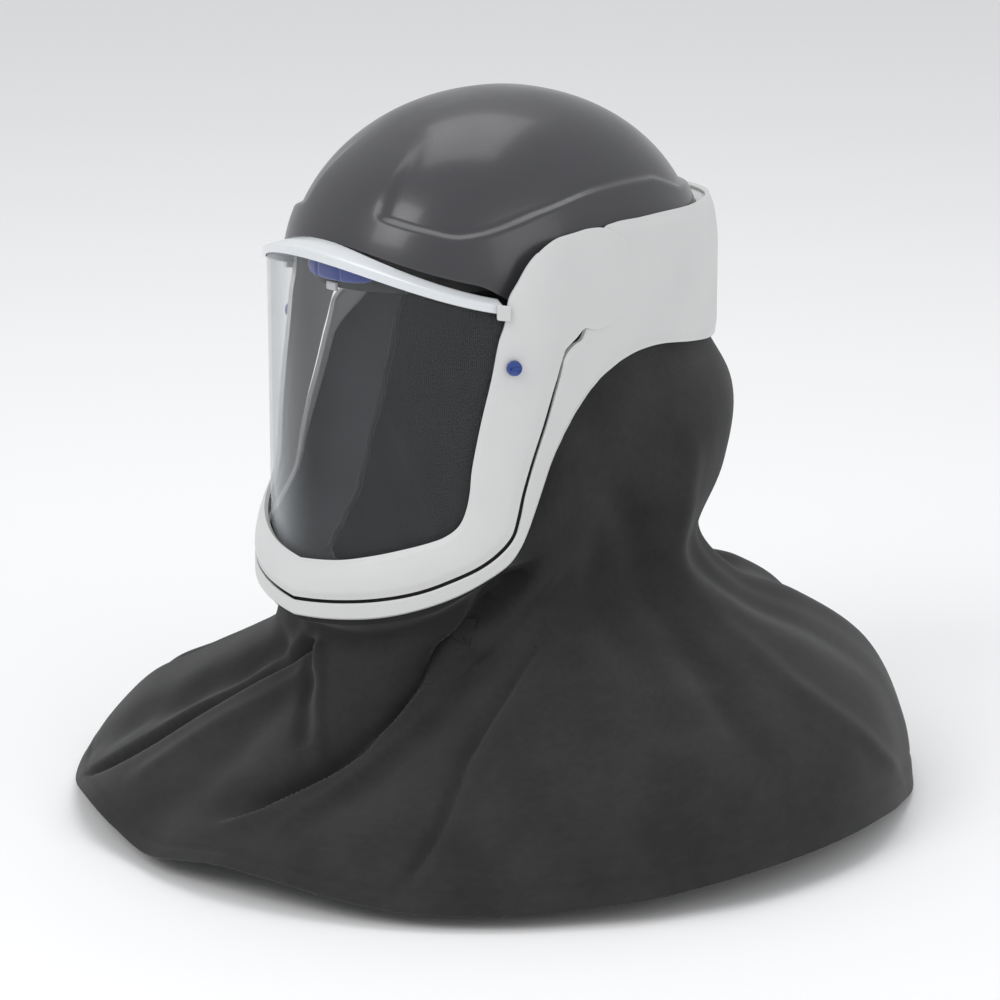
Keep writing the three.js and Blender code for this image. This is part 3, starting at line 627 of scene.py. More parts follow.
def mapped_grid(columns: int, rows: int, surface: SurfaceMap, size: tuple[float, float]) -> bmesh.types.BMesh:
    """Grid whose vertices lie on a surface, with a map in metres.

    Args:
        columns: Quads along u.
        rows: Quads along v.
        surface: Point of the surface at u and v from 0 to 1.
        size: Length of the surface along u and v, in metres, for the map.

    Returns:
        The mesh, with doubled seam points merged.
    """
    bm = bmesh.new()
    layer = bm.loops.layers.uv.new("cloth")
    bmesh.ops.create_grid(bm, x_segments=columns, y_segments=rows, size=0.5)
    places = {vert: (vert.co.x + 0.5, vert.co.y + 0.5) for vert in bm.verts}
    for face in bm.faces:
        for loop in face.loops:
            u, v = places[loop.vert]
            loop[layer].uv = (u * size[0], v * size[1])
    for vert, (u, v) in places.items():
        vert.co = surface(u, v)
    bmesh.ops.remove_doubles(bm, verts=bm.verts, dist=0.01 * MM)
    bmesh.ops.dissolve_degenerate(bm, edges=bm.edges, dist=0.001 * MM)
    return bm


def face_out(bm: bmesh.types.BMesh, centre: Vector) -> None:
    """Turns the faces of an open sheet away from a point.

    Args:
        bm: The sheet.
        centre: Point on its inner side.
    """
    bmesh.ops.recalc_face_normals(bm, faces=bm.faces)
    outward = sum(
        face.normal.dot(face.calc_center_median() - centre) * face.calc_area() for face in bm.faces
    )
    if outward < 0:
        bmesh.ops.reverse_faces(bm, faces=bm.faces)


def to_object(bm: bmesh.types.BMesh, name: str) -> bpy.types.Object:
    """Scene object with the mesh.

    Args:
        bm: The mesh; it is freed.
        name: Name of the piece.

    Returns:
        The object at the origin.
    """
    mesh = bpy.data.meshes.new(name)
    bm.to_mesh(mesh)
    bm.free()
    piece = bpy.data.objects.new(name, mesh)
    bpy.context.scene.collection.objects.link(piece)
    return piece


def bake_modifiers(piece: bpy.types.Object) -> None:
    """Applies every modifier of a piece to its mesh.

    Args:
        piece: The piece.
    """
    bpy.context.view_layer.update()
    evaluated = piece.evaluated_get(bpy.context.evaluated_depsgraph_get())
    mesh = bpy.data.meshes.new_from_object(evaluated)
    piece.modifiers.clear()
    piece.data = mesh


def wall(piece: bpy.types.Object, thickness: float) -> None:
    """Gives a sheet its wall, inwards from its faces.

    Args:
        piece: The sheet.
        thickness: The wall in millimetres.
    """
    painted_reflection_alpha = piece.modifiers.new("wall", "SOLIDIFY")
    painted_reflection_alpha.thickness = thickness * MM
    painted_reflection_alpha.offset = -1
    painted_reflection_alpha.use_even_offset = True
    painted_reflection_alpha.use_quality_normals = True
    bake_modifiers(piece)


def cut(
    piece: bpy.types.Object, tool: bpy.types.Object, operation: str, solver: str = "EXACT"
) -> None:
    """Cuts a piece with a closed tool and removes the tool.

    Args:
        piece: The piece.
        tool: The closed tool.
        operation: DIFFERENCE, INTERSECT or UNION.
        solver: EXACT, or FAST where the wall folds over itself.
    """
    boolean = piece.modifiers.new("cut", "BOOLEAN")
    boolean.object = tool
    boolean.operation = operation
    boolean.solver = solver
    bake_modifiers(piece)
    bpy.data.objects.remove(tool)


def crisp(piece: bpy.types.Object, width: float, angle: float = SHADE_ANGLE) -> None:
    """Small round on the sharp edges, and smooth shading for the rest.

    Args:
        piece: The piece.
        width: Width of the round in millimetres; 0 leaves the edges.
        angle: Smallest angle of a sharp edge.
    """
    if width > 0:
        bevel = piece.modifiers.new("edges", "BEVEL")
        bevel.width = width * MM
        bevel.segments = 2
        bevel.limit_method = "ANGLE"
        bevel.angle_limit = angle
        bevel.harden_normals = False
        bake_modifiers(piece)
    piece.data.shade_smooth()
    piece.data.set_sharp_from_angle(angle=angle)


def dress(
    piece: bpy.types.Object, finish: bpy.types.Material, body: Body, slot: str, *nodes: str
) -> None:
    """Gives a piece its finish and ties it to the frame.

    Args:
        piece: The piece.
        finish: Its material.
        body: Body that it rides on.
        slot: Material slot of the record; not used.
        nodes: CAD nodes that it stands for.
    """
    piece.data.materials.clear()
    piece.data.materials.append(finish)
    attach(piece, body.value)
    if nodes:
        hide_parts(*nodes)
    LOG.info("%s: %d faces on %s", piece.name, len(piece.data.polygons), body.value)


def pivot_disc(name: str, radius: float, from_x: float, to_x: float, side: float = 1) -> bpy.types.Object:
    """Disc about the pivot axis, as a cutting tool or a part.

    Args:
        name: Name of the object.
        radius: Radius in millimetres.
        from_x: Nearer distance from the middle plane.
        to_x: Farther distance.
        side: 1 for the wearer's left, -1 for the right.

    Returns:
        The disc.
    """
    bm = bmesh.new()
    turn = Matrix.Rotation(math.radians(90), 4, "Y")
    centre = Matrix.Translation(Vector((side * (from_x + to_x) / 2 * MM, PIVOT.y, PIVOT.z)))
    bmesh.ops.create_cone(
        bm, cap_ends=True, segments=128, radius1=radius * MM, radius2=radius * MM,
        depth=(to_x - from_x) * MM, matrix=centre @ turn,
    )
    return to_object(bm, name)


# Visor frame: angle and height of its lens edge, of its outer edge, and its share of the chin form.
VISOR_FRAME: tuple[Row, ...] = (
    (108.1, 12, 108.1, 3, 0), (106.8, 22, 106.8, -7, 0), (104, 30, 104, -15, 0),
    (100.5, 36.2, 100.5, -20.6, 0), (97, 37.6, 97, -22.4, 0), (93.5, 36.6, 94.6, -20.5, 0),
    (87.3, 34, 92.7, -25, 0), (81.3, 28, 91.2, -28.5, 0), (78, 21.8, 90, -32, 0),
    (74.7, 12, 88.6, -39, 0), (71.3, 1.6, 87.3, -46.5, 0), (70, -13, 85.8, -54, 0),
    (68, -24, 84.7, -60, 0), (65.6, -46, 82, -75, 0), (62.2, -72, 78.2, -94, 0.1),
    (59.6, -97, 74.9, -113, 0.25), (58.8, -112, 73, -128, 0.35), (57.5, -123.5, 71.2, -138.5, 0.45),
    (55.3, -132, 67.2, -147, 0.6), (51.3, -138, 61.5, -154.8, 0.7), (46, -142, 54, -161.6, 0.8),
    (37.3, -147, 43.5, -169.6, 0.9), (28, -152, 31.3, -175.6, 1), (16, -157.4, 17, -180.3, 1),
    (0, -161.5, 0, -184.5, 1),
)

# Band: angle and height of its inner and lower edges, share out to the visor frame, chin share.
BAND_FRAME: tuple[Row, ...] = (
    (180, 35, 180, -52, 0, 0), (170, 35, 170, -52, 0, 0), (160, 35.4, 160, -52, 0, 0),
    (150, 36, 150, -51.5, 0, 0), (140, 36.5, 139.5, -50, 0, 0), (130.5, 37, 128, -46, 0, 0),
    (120, 38, 117, -41.4, 0, 0), (112, 38, 110, -41.4, 0, 0), (105, 38, 105, -44.5, 0, 0),
    (101, 34, 101.5, -49, 0, 0), (98, 14, 99.3, -52.5, 0, 0), (96.5, -10, 97.6, -56.3, 0.2, 0),
    (94.6, -26, 96, -60, 0.5, 0), (92.4, -29.5, 94, -66, 0.9, 0), (90.4, -35, 92.3, -72, 1, 0),
    (88.4, -48, 89.8, -83, 1, 0), (85.9, -61.5, 86.9, -92, 1, 0), (83.2, -76.5, 84.6, -101, 1, 0),
    (79.4, -95, 82, -113, 1, 0.1), (76.1, -113.5, 79.2, -126, 1, 0.25), (74.3, -128.5, 76.7, -137.5, 1, 0.35),
    (72.3, -140, 74, -147.5, 1, 0.45), (68, -149, 70, -156.5, 1, 0.6), (62, -157, 63, -165, 1, 0.7),
    (54.3, -163.9, 55, -173, 1, 0.8), (43.8, -171.8, 44.3, -181, 1, 0.9), (31.4, -177.8, 31.6, -187.8, 1, 1),
    (17, -182.5, 17, -192.4, 1, 1), (0, -186.8, 0, -196, 1, 1),
)

# Lens: share down and the angle of its side edge.
LENS_EDGE: tuple[Row, ...] = (
    (0, 72), (0.25, 69.5), (0.5, 65), (0.75, 61.5), (1, 59),
)

# Lens: angle and height of its foot.
LENS_FOOT: tuple[Row, ...] = (
    (0, -166.5), (17, -162.5), (28, -157), (46, -147), (59, -131),
)

# Face seal: outer angle and height share, then shares of the inner edge across, along and up.
FACE_SEAL: tuple[Row, ...] = (
    (99, -0.13, 0.6, 0.2, -0.1), (97, -0.2, 0.6, 0.15, -0.2),
    (91, -0.29, 0.6, 0.08, -0.36), (86, -0.42, 0.61, 0.02, -0.5),
    (81, -0.55, 0.6, -0.06, -0.61), (77, -0.655, 0.57, -0.13, -0.7),
    (73, -0.762, 0.53, -0.22, -0.79), (62, -0.862, 0.43, -0.42, -0.875),
    (43.8, -0.94, 0.3, -0.6, -0.925), (20, -0.995, 0.13, -0.68, -0.945),
    (0, -1.018, 0, -0.7, -0.955),
)

# Shroud: angle and height share of its top edge.
SHROUD_TOP: tuple[Row, ...] = (
    (0, -1.06), (15, -1.045), (32, -1.015), (47, -0.973), (57, -0.923), (66, -0.872),
    (72, -0.825), (76, -0.758), (80.7, -0.647), (86, -0.512), (92.7, -0.378), (100.7, -0.27),
    (108, -0.227), (117, -0.224), (140, -0.27), (180, -0.281),
)

# Shroud sections: down, front radius and drop, side radius, left and right drop, back radius and drop.
SHROUD_ROWS: tuple[Row, ...] = (
    (0.12, 0.505, 0.63, 0.45, 0.34, 0.36, 0.615, 0.24),
    (0.26, 0.52, 0.668, 0.435, 0.45, 0.5, 0.6, 0.37),
    (0.4, 0.55, 0.71, 0.43, 0.56, 0.64, 0.515, 0.525),
    (0.52, 0.63, 0.76, 0.57, 0.64, 0.72, 0.6, 0.627),
    (0.65, 0.75, 0.825, 0.75, 0.705, 0.8, 0.755, 0.68),
    (0.78, 0.865, 0.895, 0.9, 0.785, 0.865, 0.915, 0.77),
    (0.9, 0.955, 0.96, 0.975, 0.895, 0.935, 0.985, 0.885),
    (1, 1, 1, 1, 1, 1, 1, 1),
)

# Shroud hem: angle and lift share.
HEM_LIFT: tuple[Row, ...] = (
    (-180, 0), (-60, 0.01), (-42, 0), (-22, 0.042), (-10, 0.036), (0, 0.02),
    (12, 0.048), (22, 0.046), (32, 0.027), (42, 0.016), (70, 0.03), (85, 0.046),
    (108, 0.047), (122, 0.025), (132, 0), (180, 0),
)

# Wide folds: angle at the top and hem, start and end share down, depth share, width in degrees.
SHROUD_FOLDS: tuple[Row, ...] = (
    (-12, -44, 0.2, 0.97, 0.045, 5), (-8, -2, 0.25, 0.8, 0.02, 6),
    (60, 12, 0.15, 0.9, 0.06, 8), (88, 86, 0.1, 0.85, 0.03, 11),
    (112, 128, 0.1, 0.9, -0.02, 8), (-62, -80, 0.15, 0.9, 0.04, 9),
    (-118, -112, 0.2, 0.95, 0.03, 9), (172, 168, 0.3, 1, 0.02, 9),
)


def side_of(share: float) -> tuple[float, float]:
    """Half and side of a loop that runs from one end down the left side and back up the right.

    Args:
        share: Place on the whole loop, 0 to 1.

    Returns:
        The share of the half's table and the side's sign.
    """
    return (2 * share, 1.0) if share <= 0.5 else (2 - 2 * share, -1.0)


def paced(table: Sequence[Row], columns: int) -> list[float]:
    """Shares of a half table, doubled to a loop, that make its quads even along the edge.

    Args:
        table: Rows with angle and height first.
        columns: Quads along the whole loop.

    Returns:
        The loop's shares, columns + 1 of them.
    """
    steps = 240
    points = []
    for k in range(steps + 1):
        row = rows_at(table, k / steps)
        points.append(SIDE.point((row[0] + row[2]) / 2, (row[1] + row[3]) / 2, 0))
    lengths = [0.0]
    for a, b in zip(points, points[1:]):
        lengths.append(lengths[-1] + (b - a).length)
    half = [share / 2 for share in even_shares(lengths, columns // 2)]
    return half + [1 - share for share in reversed(half[:-1])]


@dataclass
class CrownShell:
    """Hard crown with its sunk top and the rib over the brow."""

    wall_mm: float = 3.0
    columns: int = 264
    rows: int = 100

    def surface(self, u: float, v: float) -> Vector:
        """Point of the outer face at u round and v up."""
        around = u * 360 - 180
        rise = lerp(SHELL.rim_rise(around), 90, v ** 0.92)
        return SHELL.point(around, rise, -SHELL.recess(around, rise))

    def build(self) -> None:
        """Makes the shell and ties it to the helmet."""
        bm = mapped_grid(self.columns, self.rows, self.surface, (0.75, 0.2))
        face_out(bm, Vector((0, 0, 0)))
        shell = to_object(bm, "crown_shell_skin")
        wall(shell, self.wall_mm)
        crisp(shell, 0.0, math.radians(50))
        dress(shell, SHELL_ABS.make(), Body.HELMET, "shell_plastic", "crown_shell")


def shell_tool(clearance: float) -> bpy.types.Object:
    """Closed form of the crown shell, to trim its neighbours with.

    Args:
        clearance: Distance out from the form, in millimetres.

    Returns:
        The tool.
    """
    bm = mapped_grid(
        160, 60,
        lambda u, v: SHELL.point(u * 360 - 180, lerp(-40, 90, v), clearance),
        (1, 1),
    )
    rim = [edge for edge in bm.edges if edge.is_boundary]
    bmesh.ops.holes_fill(bm, edges=rim, sides=0)
    bmesh.ops.recalc_face_normals(bm, faces=bm.faces)
    return to_object(bm, "shell_tool")


@dataclass
class Band:
    """White band round the rear and temples, which runs down to the chin strip."""

    wall_mm: float = 3.0
    proud: float = 3.7
    edge_dip: float = 0.9
    lobe_gap: float = 0.8
    columns: int = 520
    rows: int = 26
    shares: list[float] = field(default_factory=list)

    def point(self, share: float, across: float, extra: float = 0.0) -> Vector:
        """Point of the band.

        Args:
            share: Place on the loop, from the rear middle round the chin and back.
            across: 0 at the upper or visor edge and 1 at the lower one.
            extra: Distance out from the band's own face, in millimetres.

        Returns:
            The point in metres.
        """
        half, side = side_of(share)
        around1, z1, around2, z2, rise, chin = rows_at(BAND_FRAME, half)
        full = lerp(self.proud, FRAME_PROUD + CHIN_EXTRA_PROUD * chin, rise)
        dip = self.edge_dip * (1 - smooth(min(across, 1 - across) / 0.1))
        return SIDE.point(
            side * lerp(around1, around2, across), lerp(z1, z2, across), full - dip + extra
        )

    def surface(self, u: float, v: float) -> Vector:
        """Point of the outer face at u along and v across."""
        across = v - math.sin(2 * math.pi * v) * 0.07
        return self.point(self.shares[round(u * self.columns)], across)

    def lip(self, u: float, v: float) -> Vector:
        """Point of the ledge from the band's upper edge in to the shell."""
        share = 0.155 - 0.31 * u
        start = self.point(share % 1.0, 0.04, -1.0)
        around = math.degrees(math.atan2(start.x, -start.y))
        rise = math.degrees(math.asin(start.z / MM / SHELL.height))
        end = SHELL.point(around, rise, GAP - SHELL.recess(around, rise))
        point = start.lerp(end, v)
        point.z = start.z + 0.6 * MM * math.sin(math.pi * v)
        return point

    def build(self) -> None:
        """Makes the band and its ledge and ties them to the helmet."""
        self.shares = paced(BAND_FRAME, self.columns)
        bm = mapped_grid(self.columns, self.rows, self.surface, (1.2, 0.06))
        face_out(bm, Vector((0, SIDE.centre_y * MM, -0.05)))
        band = to_object(bm, "band_frame_skin")
        wall(band, self.wall_mm)
        for side in Side:
            tool = pivot_disc("opening", LOBE_RADIUS + self.lobe_gap, 60, 160, side.value)
            cut(band, tool, "DIFFERENCE", "FAST")
        crisp(band, 0.0, math.radians(40))
        finish = WHITE_ABS.make()
        dress(band, finish, Body.HELMET, "white_plastic", "band_frame")
        bm = mapped_grid(200, 6, self.lip, (0.5, 0.03))
        face_out(bm, Vector((0, 0.03, -0.2)))
        ledge = to_object(bm, "band_ledge")
        wall(ledge, 2.0)
        crisp(ledge, 0.0)
        dress(ledge, finish, Body.HELMET, "white_plastic")


@dataclass
class VisorFrame:
    """White frame of the visor, with a round lobe about each pivot."""

    wall_mm: float = 2.6
    columns: int = 440
    rows: int = 22
    section: tuple[Row, ...] = ((0, 0.3), (0.12, 0.55), (0.45, 0.85), (0.8, 1), (1, 0.92))
    shares: list[float] = field(default_factory=list)

    def surface(self, u: float, v: float) -> Vector:
        """Point of the outer face at u along and v across."""
        half, side = side_of(self.shares[round(u * self.columns)])
        around1, z1, around2, z2, chin = rows_at(VISOR_FRAME, half)
        full = FRAME_PROUD + CHIN_EXTRA_PROUD * chin
        share = look_up(self.section, v, eased=True)
        lobe = smooth((around1 - 75) / 8)
        proud = lerp(full * share, FRAME_PROUD, lobe)
        return SIDE.point(side * lerp(around1, around2, v), lerp(z1, z2, v), proud)

    def build(self) -> None:
        """Makes the frame and ties it to the visor."""
        self.shares = paced(VISOR_FRAME, self.columns)
        bm = mapped_grid(self.columns, self.rows, self.surface, (0.8, 0.03))
        face_out(bm, Vector((0, SIDE.centre_y * MM, -0.05)))
        frame_skin = to_object(bm, "visor_frame_skin")
        wall(frame_skin, self.wall_mm)
        bm = bmesh.new()
        bmesh.ops.create_cube(
            bm, size=1,
            matrix=Matrix.Translation(Vector((0, PIVOT.y - 0.1, 0))) @ Matrix.Diagonal((0.4, 0.2, 0.6, 1)),
        )
        keep = to_object(bm, "keep")
        cut(keep, pivot_disc("lobes", LOBE_RADIUS, -160, 160), "UNION")
        cut(frame_skin, keep, "INTERSECT")
        for side in Side:
            tool = pivot_disc("flat", LOBE_RADIUS + 17, 0, SIDE.half_width - 0.2, side.value)
            cut(frame_skin, tool, "DIFFERENCE")
        crisp(frame_skin, 0.0, math.radians(40))
        dress(frame_skin, WHITE_ABS.make(), Body.VISOR, "white_plastic", "visor_frame")


@dataclass
class VisorRail:
    """Pale glossy rail along the top of the lens, with a clip at each end."""

    end_deg: float = 69.4
    face_mm: float = 5.0
    depth_mm: float = 14.0
    wall_mm: float = 2.0
    proud_mm: float = 1.4
    rise_mm: float = 3.5

    def surface(self, u: float, v: float) -> Vector:
        """Point of the rail's face and top at u round and v from the foot to the back edge."""
        around = lerp(-self.end_deg, self.end_deg, u)
        top = rail_z(SIDE.point(around, 0, 0).x / MM)
        if v <= 0.5:
            return SIDE.point(around, top - self.face_mm * (1 - 2 * v), self.proud_mm)
        back = 2 * v - 1
        proud = lerp(self.proud_mm, -self.depth_mm, back)
        return SIDE.point(around, top + self.rise_mm * back, proud)

    def clip(self, side: Side) -> bpy.types.Object:
        """Clip that holds a rail end to the frame.

        Args:
            side: The wearer's side.

        Returns:
            The clip.
        """
        def patch(u: float, v: float) -> Vector:
            """Point of the clip's face."""
            around = side.value * lerp(67.2, 71.4, u)
            top = rail_z(SIDE.point(around, 0, 0).x / MM)
            return SIDE.point(around, lerp(top - 8.5, top + 0.6, v), 4.4)

        bm = mapped_grid(8, 8, patch, (0.008, 0.009))
        face_out(bm, Vector((0, SIDE.centre_y * MM, 0)))
        piece = to_object(bm, f"rail_clip_{side.name.lower()}")
        wall(piece, 2.6)
        crisp(piece, 0.7)
        return piece

    def build(self) -> None:
        """Makes the rail and its clips and ties them to the visor."""
        bm = mapped_grid(150, 8, self.surface, (0.3, 0.02))
        face_out(bm, Vector((0, SIDE.centre_y * MM, 0)))
        rail = to_object(bm, "visor_rail_skin")
        wall(rail, self.wall_mm)
        cut(rail, shell_tool(1.5), "DIFFERENCE")
        crisp(rail, 0.5)
        dress(rail, RAIL_PC.make(), Body.VISOR, "rail_plastic", "visor_rail")
        finish = WHITE_ABS.make()
        for side in Side:
            dress(self.clip(side), finish, Body.VISOR, "white_plastic")


@dataclass
class Lens:
    """Clear wrapped window."""

    wall_mm: float = 2.0
    proud_mm: float = FRAME_PROUD * 0.3 - 2.6 - GAP
    columns: int = 150
    rows: int = 60

    def surface(self, u: float, v: float) -> Vector:
        """Point of the outer face at u round and v down."""
        across = u * 2 - 1
        around = across * look_up(LENS_EDGE, v, eased=True)
        top = rail_z(SIDE.point(across * LENS_EDGE[0][1], 0, 0).x / MM) - 3.5
        foot = look_up(LENS_FOOT, abs(across) * LENS_FOOT[-1][0], eased=True)
        return SIDE.point(around, lerp(top, foot, v), self.proud_mm)

    def build(self) -> None:
        """Makes the lens and ties it to the visor."""
        bm = mapped_grid(self.columns, self.rows, self.surface, (0.3, 0.17))
        face_out(bm, Vector((0, SIDE.centre_y * MM, -0.05)))
        lens = to_object(bm, "visor_lens_skin")
        wall(lens, self.wall_mm)
        crisp(lens, 0.0)
        dress(lens, VISOR_PC.make(), Body.VISOR, "lens_plastic", "visor_lens")


@dataclass
class LensLocks:
    """Blue turn buttons that lock the lens in its frame, one on each side."""

    radius_mm: float = 4.7
    height_mm: float = 3.0
    around: float = 72.2
    z_mm: float = -38.0

    def button(self, side: Side) -> bpy.types.Object:
        """Domed button with a sunk face and a coin slot.

        Args:
            side: The wearer's side.

        Returns:
            The button.
        """
        proud = FRAME_PROUD * 0.78
        centre = SIDE.point(side.value * self.around, self.z_mm, proud)
        ahead = SIDE.point(side.value * (self.around - 1), self.z_mm, proud)
        normal = (centre - ahead).cross(Vector((0, 0, side.value))).normalized()
        stand = normal.to_track_quat("Z", "Y").to_matrix().to_4x4()
        place = Matrix.Translation(centre + normal * (self.height_mm / 2 + GAP * 2) * MM) @ stand
        bm = bmesh.new()
        bmesh.ops.create_cone(
            bm, cap_ends=True, segments=48, radius1=self.radius_mm * MM,
            radius2=self.radius_mm * 0.88 * MM, depth=self.height_mm * MM,
        )
        top = max(bm.faces, key=lambda face: face.calc_center_median().z)
        bmesh.ops.inset_individual(bm, faces=[top], thickness=0.9 * MM, depth=-0.5 * MM)
        rings = [edge for edge in bm.edges if edge.calc_face_angle(0) > 0.6]
        bmesh.ops.bevel(
            bm, geom=rings, offset=0.3 * MM, segments=2, profile=0.5, affect="EDGES", material=-1,
        )
        slot = bmesh.ops.create_cube(
            bm, size=1,
            matrix=Matrix.Translation((0, 0, (self.height_mm / 2 - 0.2) * MM))
            @ Matrix.Diagonal((5.2 * MM, 1.1 * MM, 0.5 * MM, 1)),
        )
        bmesh.ops.bevel(
            bm, geom=list({edge for vert in slot["verts"] for edge in vert.link_edges}),
            offset=0.12 * MM, segments=2, profile=0.5, affect="EDGES", material=-1,
        )
        bm.transform(place)
        return to_object(bm, f"lens_lock_{side.name.lower()}_button")

    def build(self) -> None:
        """Makes the buttons and ties them to the visor."""
        finish = BLUE_ABS.make()
        for side in Side:
            piece = self.button(side)
            crisp(piece, 0.0)
            dress(piece, finish, Body.VISOR, "blue_plastic", f"lens_lock_{side.name.lower()}")


@dataclass
class Suspension:
    """Head band with its lugs, and the clip under the brow pad."""

    half_width: float = 78
    front: float = 121
    rear: float = 106
    height: float = 26
    wall_mm: float = 2.5
    lug_width: float = 16

    def oval(self, around: float, offset: float) -> Vector:
        """Point of the ring at an angle in radians and a distance out, at height 0."""
        c = math.cos(around)
        length = (self.front if c > 0 else self.rear) + offset
        return Vector(((self.half_width + offset) * math.sin(around), -length * c, 0)) * MM

    def build(self) -> None:
        """Makes the ring, its lugs and the clip and ties them to the helmet."""
        def ring_surface(u: float, v: float) -> Vector:
            """Outer face of the ring, with a shallow channel along its middle."""
            sunk = 0.5 * smooth((0.22 - abs(v - 0.5)) / 0.06)
            point = self.oval(u * 2 * math.pi, self.wall_mm - sunk)
            point.z = v * self.height * MM
            return point

        finish = BLACK_PA.make()
        bm = mapped_grid(180, 16, ring_surface, (0.6, self.height * MM))
        face_out(bm, Vector((0, 0, self.height / 2 * MM)))
        ring = to_object(bm, "headband_ring")
        wall(ring, self.wall_mm - 0.5)
        crisp(ring, 0.0)
        dress(ring, finish, Body.HELMET, "black_plastic", "headband")
        for index, around in enumerate((45, 135, 225, 315)):
            start = self.oval(math.radians(around), self.wall_mm)
            direction = math.atan2(start.y, start.x)
            reach = Matrix.Translation((start.x, start.y, (self.height - 5) * MM))
            shape = Matrix.Translation((0.02, 0, 0)) @ Matrix.Diagonal((0.04, self.lug_width * MM, 0.006, 1))
            bm = bmesh.new()
            bmesh.ops.create_cube(bm, size=1, matrix=reach @ Matrix.Rotation(direction, 4, "Z") @ shape)
            lug = to_object(bm, f"headband_lug_{index + 1}")
            cut(lug, shell_tool(-3 - GAP), "INTERSECT")
            crisp(lug, 0.6)
            dress(lug, finish, Body.HELMET, "black_plastic")
        bm = bmesh.new()
        bmesh.ops.create_cube(
            bm, size=1,
            matrix=Matrix.Translation((0, -(self.front + self.wall_mm + 0.9) * MM, 0.0005))
            @ Matrix.Diagonal((0.009, 0.0024, 0.005, 1)),
        )
        bmesh.ops.bevel(
            bm, geom=bm.edges, offset=0.6 * MM, segments=3, profile=0.5, affect="EDGES", material=-1,
        )
        clip = to_object(bm, "pad_clip")
        crisp(clip, 0.0)
        dress(clip, GREY_PA.make(), Body.HELMET, "black_plastic")


@dataclass
class BrowPad:
    """Foam cushion on the front of the head band, puffed by a cloth simulation."""

    half_width: float = 31
    height: float = 15
    thickness: float = 6
    bottom: float = 4
    most_swell_mm: float = 1.6

    def surface(self, band: Suspension, u: float, v: float) -> Vector:
        """Point of the pad before it swells, at u along and v round its section."""
        reach = math.asin(self.half_width / band.half_width)
        share = u * 2 - 1
        swell = math.sqrt(max(0.0, 1 - 0.86 * abs(share) ** 6))
        turn = v * 2 * math.pi
        out = 0.5 + 0.46 * wave(math.cos(turn), 0.6)
        up = 0.5 + 0.46 * wave(math.sin(turn), 0.6) * swell
        point = band.oval(share * reach * 0.97, band.wall_mm + GAP + 0.3 + out * (self.thickness - 1) * swell)
        point.z = (self.bottom + self.height * up) * MM
        return point

    def build(self, band: Suspension) -> None:
        """Makes the pad and ties it to the helmet.

        Args:
            band: Head band that it sits on.
        """
        bm = mapped_grid(48, 28, lambda u, v: self.surface(band, u, v), (0.07, 0.04))
        ends = [edge for edge in bm.edges if edge.is_boundary]
        bmesh.ops.holes_fill(bm, edges=ends, sides=0)
        bmesh.ops.recalc_face_normals(bm, faces=bm.faces)
        pad = to_object(bm, "brow_pad_cushion")
        remesh = pad.modifiers.new("even", "REMESH")
        remesh.mode = "VOXEL"
        remesh.voxel_size = 1.1 * MM
        bake_modifiers(pad)
        self.puff(pad)
        self.stitch(pad, band)
        pad.modifiers.new("round", "SUBSURF").levels = 1
        pad.modifiers["round"].render_levels = 1
        pad.data.shade_smooth()
        dress(pad, PAD_KNIT.make(), Body.HELMET, "blue_foam", "brow_pad")

    def puff(self, pad: bpy.types.Object) -> None:
        """Swells the pad under pressure, within its cap.

        Args:
            pad: The pad.
        """
        rest = [vert.co.copy() for vert in pad.data.vertices]
        cloth = pad.modifiers.new("puff", "CLOTH")
        cloth.settings.quality = 4
        cloth.settings.use_pressure = True
        cloth.settings.uniform_pressure_force = 4
        cloth.settings.effector_weights.gravity = 0
        for number in range(1, 13):
            bpy.context.scene.frame_set(number)
        bake_modifiers(pad)
        bpy.context.scene.frame_set(1)
        for vert, start in zip(pad.data.vertices, rest):
            moved = vert.co - start
            limit = self.most_swell_mm * MM
            if moved.length > limit:
                vert.co = start + moved * (limit / moved.length)

    def stitch(self, pad: bpy.types.Object, band: Suspension) -> None:
        """Pulls in two stitched channels across the pad and keeps it off the head band.

        Args:
            pad: The pad.
            band: Head band that it sits on.
        """
        for vert in pad.data.vertices:
            x = vert.co.x / MM
            pull = sum(1.1 * math.exp(-((x - at) / 1.3) ** 2) for at in (-10.5, 10.5))
            flat = Vector((vert.co.x / band.half_width, vert.co.y / band.front, 0)).normalized()
            vert.co -= flat * pull * MM
            around = math.asin(max(-1, min(1, vert.co.x / MM / band.half_width)))
            nearest = band.oval(around, band.wall_mm + GAP).y
            vert.co.y = min(vert.co.y, nearest)


